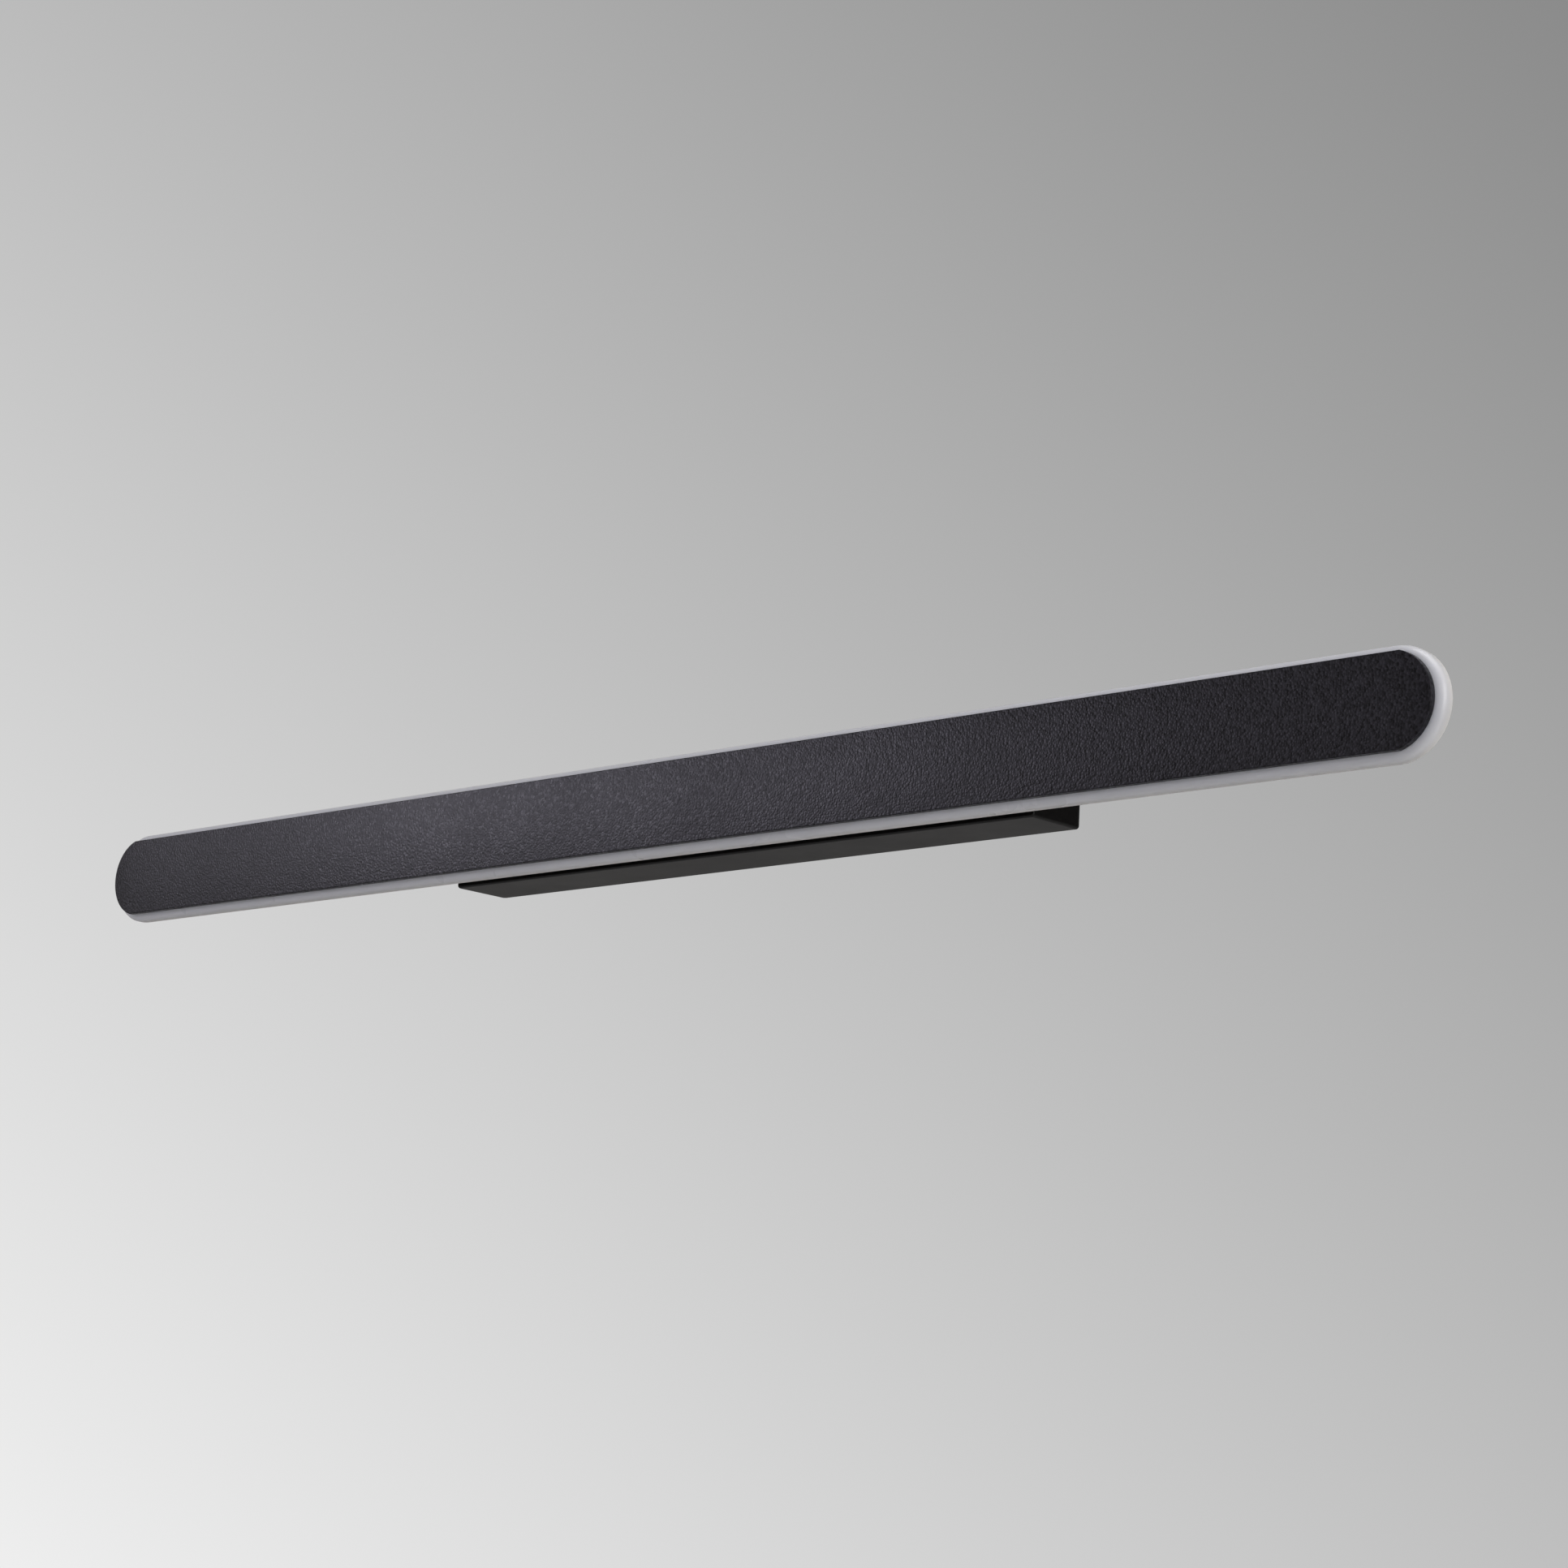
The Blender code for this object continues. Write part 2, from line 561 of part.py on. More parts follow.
def make_driver(case_material, lid_material, screw_material):
    """Power supply: a case with an ear at each end, its lid and its two screws."""
    half_z = DRIVER_HEIGHT / 2
    lid_back = DRIVER_FRONT - DRIVER_LID
    case = add_object("driver_case", boxes([(DRIVER_X, (DRIVER_BACK, lid_back - GAP),
                                             (-half_z, half_z))]), case_material)
    ears = boxes([((DRIVER_X[0] - DRIVER_EAR, DRIVER_X[1] + DRIVER_EAR),
                   (DRIVER_BACK, DRIVER_BACK + 2 * MM), (-6 * MM, 6 * MM))])
    combine(case, ears, "UNION", "ears")
    cavity = boxes([((DRIVER_X[0] + DRIVER_WALL, DRIVER_X[1] - DRIVER_WALL),
                     (DRIVER_BACK + 2.5 * MM, DRIVER_FRONT),
                     (-half_z + DRIVER_WALL, half_z - DRIVER_WALL))])
    cut(case, cavity, "cavity")
    holes = [(x, DRIVER_LEAD_DEPTH, z) for x in DRIVER_X for z in (-5 * MM, 5 * MM)]
    drill(case, holes, LEAD_RADIUS + 2 * GAP, "lead_holes", length=6 * MM,
          direction=(1, 0, 0), sides=8)
    screws = [(DRIVER_X[0] - DRIVER_EAR / 2, DRIVER_BACK, 0.0),
              (DRIVER_X[1] + DRIVER_EAR / 2, DRIVER_BACK, 0.0)]
    drill(case, screws, M3_RADIUS + GAP, "screw_holes", length=8 * MM)
    outline = rounded_rectangle((DRIVER_X[1] - DRIVER_X[0]) / 2, half_z, 1 * MM)
    outline = moved(outline, (DRIVER_X[0] + DRIVER_X[1]) / 2)
    add_object("driver_lid", loft([(outline, lid_back), (outline, DRIVER_FRONT)]), lid_material)
    for number, (x, depth, z) in enumerate(screws, start=1):
        fixing = screw(f"driver_screw_{number}", screw_material, M3_RADIUS, 4 * MM, *M3_HEAD)
        place(fixing, x, depth + 2 * MM + GAP, z)


def block_poles():
    """X places of the terminal block's three poles."""
    middle = (BLOCK_X[0] + BLOCK_X[1]) / 2
    return [middle + BLOCK_PITCH * step for step in (-1, 0, 1)]


def make_terminal_block(block_material, screw_material):
    """Three-pole block with clamp wells in front and wire entries above and below."""
    half_z = BLOCK_HEIGHT / 2
    middle = (BLOCK_X[0] + BLOCK_X[1]) / 2
    outline = moved(rounded_rectangle((BLOCK_X[1] - BLOCK_X[0]) / 2, half_z, 1 * MM), middle)
    rings = [(outline, BRACKET_SHEET + GAP), (outline, BLOCK_FRONT)]
    block = add_object("terminal_block", loft(rings), block_material)
    wells = [(x, BLOCK_FRONT, z) for x in block_poles() for z in (-4.5 * MM, 4.5 * MM)]
    drill(block, wells, 1.8 * MM, "clamp_wells", length=8 * MM, sides=8)
    entries = [(x, BLOCK_ENTRY_DEPTH, side * half_z) for x in block_poles() for side in (-1, 1)]
    drill(block, entries, LEAD_RADIUS + 2 * GAP, "wire_entries", length=6 * MM,
          direction=(0, 0, 1), sides=8)
    fixing_x = middle + BLOCK_PITCH / 2
    drill(block, [(fixing_x, BLOCK_FRONT, 0.0)], M3_RADIUS + GAP, "fixing_hole", length=60 * MM)
    fixing = screw("terminal_block_screw", screw_material, M3_RADIUS, 15.5 * MM, *M3_HEAD)
    place(fixing, fixing_x, BLOCK_FRONT + GAP, 0.0)


def make_earth_point(tag_material, screw_material):
    """Ring tag and screw that earth the bracket."""
    back = BRACKET_SHEET + GAP
    outline = moved(pill(6 * MM, 3.6 * MM, steps=8), EARTH_X + 2 * MM)
    tag = add_object("earth_tag", loft([(outline, back), (outline, back + 0.8 * MM)]), tag_material)
    drill(tag, [(EARTH_X, back, 0.0)], M3_RADIUS + GAP, "hole")
    fixing = screw("earth_screw", screw_material, M3_RADIUS, 3 * MM, *M3_HEAD,
                   washer=3.4 * MM)
    place(fixing, EARTH_X, back + 0.8 * MM + GAP, 0.0)


def scaled(route):
    """Turn a route given in millimetres into metres."""
    return [tuple(value * MM for value in point) for point in route]


def make_leads(materials):
    """Wires between the terminal block, the earth point, the driver and the LED boards."""
    lead("live_lead", materials["brown"],
         scaled([(-26, 7.5, -5.6), (-26, 7.5, -9), (-24, 7.5, -11.4), (-16, 8, -11.9),
                 (0, 8.5, -10.5), (10, 9.5, -7), (15, 10, -5.2), (22, 10, -5)]))
    lead("neutral_lead", materials["blue"],
         scaled([(-17, 7.5, 5.6), (-17, 7.5, 9), (-15, 7.5, 11.2), (-8, 8, 11.9),
                 (2, 8.5, 10.5), (10, 9.5, 7), (15, 10, 5.2), (22, 10, 5)]))
    lead("earth_lead", materials["green"],
         scaled([(-35, 7.5, -5.6), (-35, 7.5, -9), (-38, 7.5, -11.3), (-48, 7.5, -11.8),
                 (-66, 6.5, -11), (-76, 5.2, -6), (-80.5, 4.5, -1.6), (-81.5, 4.2, 0.4)]))
    for name, colour, sign in (("positive", "red", 1), ("negative", "black", -1)):
        lead(f"output_lead_{name}", materials[colour],
             scaled([(128, 10, 5 * sign), (134, 10.4, 4.6 * sign), (142, 12, 3 * sign),
                     (148.4, 16.5, 1.7 * sign), (150, 22, 1.4 * sign), (150, 34, 1.4 * sign),
                     (150, 50, 1.4 * sign), (150, 61, 1.4 * sign), (149.4, 65, 2.4 * sign),
                     (146, 66.5, 5.4 * sign), (139, 63, 8.4 * sign), (134, 59.8, 9.4 * sign),
                     (129, 58.7, 9.6 * sign)]), radius=0.8 * MM)
    for name, sign in (("upper", 1), ("lower", -1)):
        lead(f"board_link_{name}", materials["white"],
             scaled([(-9, 58.7, 9.8 * sign), (-5, 60, 9.8 * sign), (0, 60.8, 9.8 * sign),
                     (5, 60, 9.8 * sign), (9, 58.7, 9.8 * sign)]), radius=0.8 * MM)
    lead("board_link_left", materials["white"],
         scaled([(-409, 58.7, 9.8), (-409, 60.4, 5), (-409, 61, 0), (-409, 60.4, -5),
                 (-409, 58.7, -9.8)]), radius=0.8 * MM)


def make_materials():
    """Return the materials by name."""
    return {
        "plate": make_material("textured_black_paint", (0.02, 0.02, 0.023), 0.55),
        "opal": make_material("opal_acrylic", (0.86, 0.86, 0.87), 0.35),
        "canopy": make_material("satin_black_paint", (0.012, 0.011, 0.011), 0.4),
        "tray": make_material("tray_black_paint", (0.015, 0.015, 0.016), 0.5),
        "steel": make_material("zinc_plated_steel", (0.6, 0.6, 0.62), 0.35, 1.0),
        "brass": make_material("brass", (0.75, 0.58, 0.3), 0.3, 1.0),
        "board": make_material("white_circuit_board", (0.85, 0.85, 0.82), 0.4),
        "silicone": make_material("silicone", (0.7, 0.7, 0.7), 0.6),
        "foam": make_material("black_foam", (0.02, 0.02, 0.02), 0.9),
        "rubber": make_material("black_rubber", (0.02, 0.02, 0.02), 0.7),
        "plastic": make_material("white_plastic", (0.8, 0.8, 0.78), 0.45),
        "brown": make_material("brown_insulation", (0.16, 0.06, 0.02), 0.5),
        "blue": make_material("blue_insulation", (0.03, 0.1, 0.4), 0.5),
        "green": make_material("green_insulation", (0.1, 0.4, 0.06), 0.5),
        "red": make_material("red_insulation", (0.5, 0.02, 0.02), 0.5),
        "black": make_material("black_insulation", (0.02, 0.02, 0.02), 0.5),
        "white": make_material("white_insulation", (0.8, 0.8, 0.8), 0.5),
    }


def main():
    """Build the whole light."""
    clear_scene()
    materials = make_materials()
    make_front_plate(materials["plate"])
    make_plate_fixings(materials["steel"], materials["brass"], materials["steel"])
    make_diffuser(materials["opal"])
    make_diffuser_seal(materials["silicone"])
    make_rear_tray(materials["tray"])
    make_led_boards(materials["board"], materials["steel"])
    for side, sign in (("left", -1), ("right", 1)):
        make_stem(side, sign, materials["steel"], materials["canopy"], materials["steel"])
    make_canopy_cover(materials["canopy"])
    make_cover_screws(materials["canopy"])
    make_canopy_brace(materials["steel"])
    make_wall_gasket(materials["foam"])
    make_wall_bracket(materials["steel"])
    make_cable_grommet(materials["rubber"])
    make_driver(materials["plastic"], materials["plastic"], materials["steel"])
    make_terminal_block(materials["plastic"], materials["steel"])
    make_earth_point(materials["brass"], materials["steel"])
    make_leads(materials)


main()
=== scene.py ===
"""Visual model of a vanity light bar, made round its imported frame.

The bar lies along X, its black face looks towards -Y and +Z is up; the wall is the plane y = 0.
Depths are measured from the wall towards the room, so a point at depth d has y = -d. Every piece
is worked out in metres from the boxes of the frame's nodes, and rides on the frame's one body.
"""

import functools
import logging
import math
from dataclasses import dataclass
from enum import Enum
from typing import Callable, ClassVar, Iterable, Sequence

import bmesh
import bpy
import numpy as np
from mathutils import Matrix, Vector


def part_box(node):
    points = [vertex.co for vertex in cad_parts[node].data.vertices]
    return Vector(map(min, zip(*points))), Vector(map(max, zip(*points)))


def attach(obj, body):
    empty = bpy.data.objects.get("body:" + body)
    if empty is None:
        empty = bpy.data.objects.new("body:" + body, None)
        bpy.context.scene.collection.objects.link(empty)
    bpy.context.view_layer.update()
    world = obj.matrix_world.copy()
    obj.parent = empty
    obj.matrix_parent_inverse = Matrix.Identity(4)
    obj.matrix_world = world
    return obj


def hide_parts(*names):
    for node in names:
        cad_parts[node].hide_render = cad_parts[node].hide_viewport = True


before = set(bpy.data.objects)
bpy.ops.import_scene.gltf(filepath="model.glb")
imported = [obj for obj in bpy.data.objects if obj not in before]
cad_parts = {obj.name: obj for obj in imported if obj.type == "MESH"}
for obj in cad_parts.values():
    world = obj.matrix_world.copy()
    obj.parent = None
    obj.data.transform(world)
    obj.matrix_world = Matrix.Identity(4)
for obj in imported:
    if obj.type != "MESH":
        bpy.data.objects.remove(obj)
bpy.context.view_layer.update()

LOG = logging.getLogger("light_bar")
BODY = "root"
MM = 0.001
GAP = 0.3 * MM
DRILL_PAST = 1 * MM
SMOOTH_ANGLE = math.radians(32)

Colour = tuple[float, float, float]
Surface = tuple[np.ndarray, list]
Outline = Callable[[float], np.ndarray]
Socket = bpy.types.NodeSocket


# ---------------------------------------------------------------- places in the frame


@dataclass(frozen=True)
class Span:
    """Where a node of the frame lies, as ranges of x, depth and z in metres."""

    x: tuple[float, float]
    depth: tuple[float, float]
    z: tuple[float, float]

    @classmethod
    def of(cls, node: str) -> "Span":
        """Read the box of one node.

        Args:
            node: name of the frame's node.

        Returns:
            The node's span, with depth counted from the wall towards the room.
        """
        low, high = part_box(node)
        return cls((low[0], high[0]), (-high[1], -low[1]), (low[2], high[2]))

    @property
    def half_length(self) -> float:
        """Half of the size along x."""
        return (self.x[1] - self.x[0]) / 2

    @property
    def half_height(self) -> float:
        """Half of the size along z."""
        return (self.z[1] - self.z[0]) / 2

    @property
    def middle(self) -> tuple[float, float]:
        """Middle of the box as (x, z)."""
        return (sum(self.x) / 2, sum(self.z) / 2)


def nodes_named(start: str) -> list[str]:
    """Return the names of the frame's nodes that begin with some words, in order."""
    return sorted(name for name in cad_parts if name.startswith(start))


# ---------------------------------------------------------------- outlines and surfaces


def four_times(quarter: np.ndarray, straight_steps: int) -> np.ndarray:
    """Close an outline from its upper right quarter, mirrored about x = 0 and z = 0.

    Args:
        quarter: points (x, z) from the right tip up to the straight edge.
        straight_steps: steps along each straight edge.

    Returns:
        The closed loop, where point i and point n - i lie straight above each other.
    """
    x = np.linspace(-quarter[-1, 0], quarter[-1, 0], straight_steps + 1)[1:-1]
    straight = np.stack([x, np.full_like(x, quarter[-1, 1])], axis=1)
    upper = np.concatenate([quarter * (-1, 1), straight, quarter[::-1]])
    return np.concatenate([upper, upper[-2:0:-1] * (1, -1)])


def stadium(half_length: float, half_height: float, end_radius: float | None = None,
            arc_steps: int = 28, straight_steps: int = 30) -> np.ndarray:
    """Outline of a bar with round ends.

    Each quarter is an arc from the tip to a straight edge. An arc point is centre + radius *
    (cos a, sin a), where a runs from 0 to arcsin(half_height / radius).

    Args:
        half_length: distance from the middle to a tip.
        half_height: distance from the middle to a straight edge.
        end_radius: radius of the ends; half_height where none is given.
        arc_steps: steps along each quarter.
        straight_steps: steps along the straight edge.

    Returns:
        The closed outline as an array of (x, z) points.
    """
    radius = end_radius or half_height
    centre = half_length - radius
    angle = np.linspace(0.0, math.asin(min(1.0, half_height / radius)), arc_steps + 1)
    arc = np.stack([centre + radius * np.cos(angle), radius * np.sin(angle)], axis=1)
    return four_times(arc, straight_steps)


def rounded_rectangle(half_x: float, half_z: float, radius: float, corner_steps: int = 6,
                      straight_steps: int = 24) -> np.ndarray:
    """Outline of a rectangle with round corners.

    A corner point is the corner's centre + radius * (cos a, sin a), a from 0 to 90 degrees.

    Args:
        half_x: distance from the middle to an upright edge.
        half_z: distance from the middle to a level edge.
        radius: radius of the corners.
        corner_steps: steps round each corner.
        straight_steps: steps along each level edge.

    Returns:
        The closed outline as an array of (x, z) points.
    """
    angle = np.linspace(0.0, math.pi / 2, corner_steps + 1)
    corner = np.stack([half_x - radius + radius * np.cos(angle),
                       half_z - radius + radius * np.sin(angle)], axis=1)
    return four_times(np.concatenate([[[half_x, 0.0]], corner]), straight_steps)


def full_turn(sides: int) -> np.ndarray:
    """Angles spread evenly over a full turn, clockwise from the left tip."""
    return math.pi - np.arange(sides) * (2 * math.pi / sides)


def polar(radii: np.ndarray | float, sides: int) -> np.ndarray:
    """Outline of points at the given radii, spread evenly over a full turn."""
    angle = full_turn(sides)
    return np.stack([radii * np.cos(angle), radii * np.sin(angle)], axis=1)


def hexagon_radii(width: float, sides: int) -> np.ndarray:
    """Distance of a hexagon's edge from its middle, at each of the sides of a full turn.

    It is half the width across flats, divided by the cosine of the angle from the nearest flat.
    """
    return width / 2 / np.cos(np.mod(full_turn(sides), math.pi / 3) - math.pi / 6)


def ring(outline: np.ndarray, depth: float) -> np.ndarray:
    """Place an outline of (x, z) points at a depth."""
    return np.stack([outline[:, 0], np.full(len(outline), -depth), outline[:, 1]], axis=1)


def circle(radius: float, sides: int, depth: float) -> np.ndarray:
    """Ring of a circle about the Y axis, at a depth."""
    return ring(polar(radius, sides), depth)


def turned(radii: np.ndarray, depths: np.ndarray) -> list[np.ndarray]:
    """Rings about the Y axis: row k of the radii, spread over a full turn, at depth k."""
    return [ring(polar(row, len(row)), depth) for row, depth in zip(radii, depths)]


def placed(rings: Iterable[np.ndarray], span: Span, closed: bool = True) -> Surface:
    """Skin rings about the Y axis, moved to the middle of a node's span."""
    x, z = span.middle
    return skin([points + (x, 0.0, z) for points in rings], closed)


def hole(node: str, radius: float, sides: int, low: float, high: float) -> Surface:
    """Cylinder to drill through a node's middle, past both of two depths.

    Args:
        node: name of the frame's node that the hole is for.
        radius: the hole's radius.
        sides: number of points round it.
        low: depth nearest to the wall that it cuts.
        high: depth farthest from the wall that it cuts.

    Returns:
        Vertices and faces.
    """
    rings = [circle(radius, sides, low - DRILL_PAST), circle(radius, sides, high + DRILL_PAST)]
    return placed(rings, Span.of(node), closed=False)


def bend(outline: Outline, first: tuple[float, float], second: tuple[float, float],
         depth_first: bool, steps: int = 5) -> list[np.ndarray]:
    """Rings that turn a round corner between two places of an outline.

    Each point moves along a quarter of an ellipse: one of plane and depth follows sin(t) and the
    other 1 - cos(t), as t runs over a quarter turn.

    Args:
        outline: function that draws the outline in by an inset.
        first: inset and depth where the corner starts.
        second: inset and depth where it ends.
        depth_first: whether the corner sets off along depth, and not across the plane.
        steps: number of steps in the corner.

    Returns:
        The rings, with both ends.
    """
    start, end = (ring(outline(inset), depth) for inset, depth in (first, second))
    turn = np.linspace(0.0, math.pi / 2, steps + 1)
    eager, late = np.sin(turn), 1 - np.cos(turn)
    plane, deep = (late, eager) if depth_first else (eager, late)
    weights = np.stack([plane, deep, plane], axis=1)[:, None, :]
    return list(start + (end - start) * weights)


def skin(rings: Sequence[np.ndarray], closed: bool = False) -> Surface:
    """Surface through rings of equal length, as vertices and faces.

    Vertex (k, i) is point i of ring k, and a face joins (k, i), (k, i+1), (k+1, i+1), (k+1, i).
    An open surface gets a cap at each end: rungs between the points i and n - i, and a
    five-sided face at either tip.

    Args:
        rings: the rings in order.
        closed: whether the last ring joins the first one.

    Returns:
        The vertices and the list of faces.
    """
    grid = np.stack(rings)
    count, sides = grid.shape[:2]
    index = np.arange(count * sides).reshape(count, sides)
    rows = np.concatenate([index, index[:1]]) if closed else index
    around = np.roll(rows, -1, axis=1)
    quads = np.stack([rows[:-1], around[:-1], around[1:], rows[1:]], axis=-1).reshape(-1, 4)
    faces = quads.tolist()
    if not closed:
        half = sides // 2
        tip = np.arange(-2, 3)
        rung = np.arange(2, half - 2)
        ladder = np.stack([rung, rung + 1, sides - rung - 1, sides - rung], axis=1)
        for loop in (index[0], index[-1]):
            faces += loop[ladder].tolist()
            faces += [loop[tip].tolist(), loop[half + tip].tolist()]
    return grid.reshape(-1, 3), faces


# ---------------------------------------------------------------- pieces


def into_scene(name: str, data: bpy.types.ID) -> bpy.types.Object:
    """Make an object of a mesh, a light or a camera, and put it in the scene.

    Args:
        name: the object's name.
        data: what it shows.

    Returns:
        The new object, at the origin.
    """
    made = bpy.data.objects.new(name, data)
    bpy.context.scene.collection.objects.link(made)
    return made


def add_piece(name: str, surface: Surface, smooth: float = SMOOTH_ANGLE
              ) -> bpy.types.Object:
    """Make an object from a surface, facing outwards and shaded smooth except at sharp edges.

    Args:
        name: the piece's name.
        surface: vertices and faces.
        smooth: largest angle in radians across which it is shaded smooth.

    Returns:
        The new object, at the origin.
    """
    vertices, faces = surface
    mesh = bpy.data.meshes.new(name)
    mesh.from_pydata(vertices.tolist(), [], faces)
    face_outwards(mesh)
    mesh.shade_smooth()
    mesh.set_sharp_from_angle(angle=smooth)
    return into_scene(name, mesh)


def face_outwards(mesh: bpy.types.Mesh) -> None:
    """Turn all faces of a mesh outwards.

    Args:
        mesh: the closed mesh to put right.
    """
    shape = bmesh.new()
    shape.from_mesh(mesh)
    bmesh.ops.recalc_face_normals(shape, faces=shape.faces)
    shape.to_mesh(mesh)
    shape.free()


def drill(piece: bpy.types.Object, surfaces: Iterable[Surface]) -> None:
    """Cut closed surfaces out of a piece, and keep its smooth shading.

    Args:
        piece: the piece to cut.
        surfaces: the closed surfaces to take away, which don't touch each other.
    """
    cutters = [add_piece(f"{piece.name}_cutter", surface) for surface in surfaces]
    for cutter in cutters:
        modifier = piece.modifiers.new(cutter.name, "BOOLEAN")
        modifier.operation = "DIFFERENCE"
        modifier.solver = "EXACT"
        modifier.object = cutter
    settle(piece)
    for cutter in cutters:
        bpy.data.objects.remove(cutter, do_unlink=True)
    piece.data.set_sharp_from_angle(angle=SMOOTH_ANGLE)
    shade_flats(piece)


def settle(piece: bpy.types.Object) -> None:
    """Apply all of a piece's modifiers.

    Args:
        piece: the piece, which gets a new mesh.
    """
    bpy.context.view_layer.update()
    graph = bpy.context.evaluated_depsgraph_get()
    mesh = bpy.data.meshes.new_from_object(piece.evaluated_get(graph))
    piece.modifiers.clear()
    piece.data = mesh


def shade_flats(piece: bpy.types.Object) -> None:
    """Weight a piece's normals by face area, so that flat faces stay flat up to round edges.

    Args:
        piece: the piece, which gets a new mesh.
    """
    modifier = piece.modifiers.new("flat_faces", "WEIGHTED_NORMAL")
    modifier.keep_sharp = True
    modifier.weight = 90
    settle(piece)


def dress(piece: bpy.types.Object, finish: "Finishes", node: str) -> None:
    """Give a piece its finish, let it ride and let it stand for a node of the frame.

    Args:
        piece: the piece.
        finish: the finish that it gets.
        node: name of the frame's node that it stands for.
    """
    piece.data.materials.clear()
    piece.data.materials.append(finish.value.material())
    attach(piece, BODY)
    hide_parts(node)


def refine(node: str, finish: "Finishes", edge: float = 0.0, segments: int = 2) -> None:
    """Make a finer piece from a copy of a node: merged, with small round edges, shaded smooth.

    Args:
        node: name of the frame's node.
        finish: the finish that it gets.
        edge: width of the round edges in metres, or 0 for none.
        segments: steps across a round edge.
    """
    shape = bmesh.new()
    shape.from_mesh(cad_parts[node].data)
    bmesh.ops.remove_doubles(shape, verts=shape.verts, dist=0.002 * MM)
    bmesh.ops.dissolve_limit(shape, angle_limit=math.radians(0.4), verts=shape.verts,
                             edges=shape.edges)
    if edge:
        sharp = [e for e in shape.edges
                 if len(e.link_faces) == 2 and e.calc_face_angle(0.0) > math.radians(50)]
        bmesh.ops.bevel(shape, geom=sharp, offset=edge, segments=segments, profile=0.5,
                        affect="EDGES", clamp_overlap=True)
    bmesh.ops.triangulate(shape, faces=[f for f in shape.faces if len(f.verts) > 4])
    mesh = bpy.data.meshes.new(f"{node}_piece")
    shape.to_mesh(mesh)
    shape.free()
    mesh.shade_smooth()
    mesh.set_sharp_from_angle(angle=SMOOTH_ANGLE)
    made = into_scene(f"{node}_piece", mesh)
    shade_flats(made)
    dress(made, finish, node)


# ---------------------------------------------------------------- shader graphs


@dataclass
class Graph:
    """A node tree, with short ways to add nodes and join them."""

    tree: bpy.types.NodeTree

    def add(self, kind: str, settings: dict | None = None, **inputs: object) -> bpy.types.Node:
        """Add a node.

        Args:
            kind: the node's type, without the words ShaderNode in front.
            settings: properties of the node itself.
            inputs: values or sockets for its inputs, with _ for a space in their names.

        Returns:
            The node.
        """
        node = self.tree.nodes.new(f"ShaderNode{kind}")
        for key, value in (settings or {}).items():
            setattr(node, key, value)
        self.fill(node, **inputs)
        return node

    def fill(self, node: bpy.types.Node, **inputs: object) -> None:
        """Feed values or sockets to a node's inputs, with _ for a space in their names."""
        for key, value in inputs.items():
            self.feed(node.inputs[key.replace("_", " ")], value)

    def feed(self, socket: Socket, value: object) -> None:
        """Join an input to an output, or set its value.

        Args:
            socket: the input.
            value: an output, or a plain value.
        """
        if isinstance(value, Socket):
            self.tree.links.new(value, socket)
        else:
            socket.default_value = value

    def mix(self, factor: object, low: object, high: object) -> Socket:
        """Mix two colours.

        Args:
            factor: share of the second colour.
            low: the first colour, or a socket.
            high: the second colour, or a socket.

        Returns:
            The socket of the mixed colour.
        """
        node = self.add("Mix", {"data_type": "RGBA"})
        self.feed(node.inputs["Factor"], factor)
        for socket, colour in zip(node.inputs[6:8], (low, high)):
            plain = not isinstance(colour, Socket)
            self.feed(socket, (*colour, 1.0) if plain else colour)
        return node.outputs[2]

    def remap(self, value: object, source: tuple[float, float],
              target: tuple[float, float] = (0.0, 1.0)) -> Socket:
        """Map a value from one range to another, and stop at its ends.

        Args:
            value: the value, or a socket.
            source: the range that it comes from.
            target: the range that it goes to.

        Returns:
            The socket of the result.
        """
        node = self.add("MapRange")
        for socket, amount in zip(node.inputs, (value, *source, *target)):
            self.feed(socket, amount)
        return node.outputs[0]

    def calculate(self, operation: str, *values: object) -> Socket:
        """Work out a number from other numbers.

        Args:
            operation: what is done with them.
            values: the numbers, or sockets.

        Returns:
            The socket of the result.
        """
        node = self.add("Math", {"operation": operation})
        for socket, value in zip(node.inputs, values):
            self.feed(socket, value)
        return node.outputs[0]


def shared(name: str, *outputs: str) -> Callable[[Callable], Callable[[], bpy.types.NodeTree]]:
    """Turn a function that fills a node group into one that returns the group.

    The group takes a Vector and a Scale and puts out numbers. It is built once and shared.

    Args:
        name: the group's name.
        outputs: names of its outputs.

    Returns:
        The decorator.
    """

    def wrap(fill: Callable) -> Callable[[], bpy.types.NodeTree]:
        """Wrap the function that fills the group.

        Args:
            fill: function from a graph, a Vector and a Scale to the sockets that it puts out.

        Returns:
            The function that returns the group.
        """

        @functools.cache
        def group() -> bpy.types.NodeTree:
            """Build the group at the first call.

            Returns:
                The group's node tree.
            """
            tree = bpy.data.node_groups.new(name, "ShaderNodeTree")
            for label, kind in (("Vector", "NodeSocketVector"), ("Scale", "NodeSocketFloat")):
                tree.interface.new_socket(label, in_out="INPUT", socket_type=kind)
            for label in outputs:
                tree.interface.new_socket(label, in_out="OUTPUT", socket_type="NodeSocketFloat")
            start, end = tree.nodes.new("NodeGroupInput"), tree.nodes.new("NodeGroupOutput")
            graph = Graph(tree)
            made = fill(graph, start.outputs["Vector"], start.outputs["Scale"])
            for label, socket in zip(outputs, made):
                graph.feed(end.inputs[label], socket)
            return tree

        return group

    return wrap


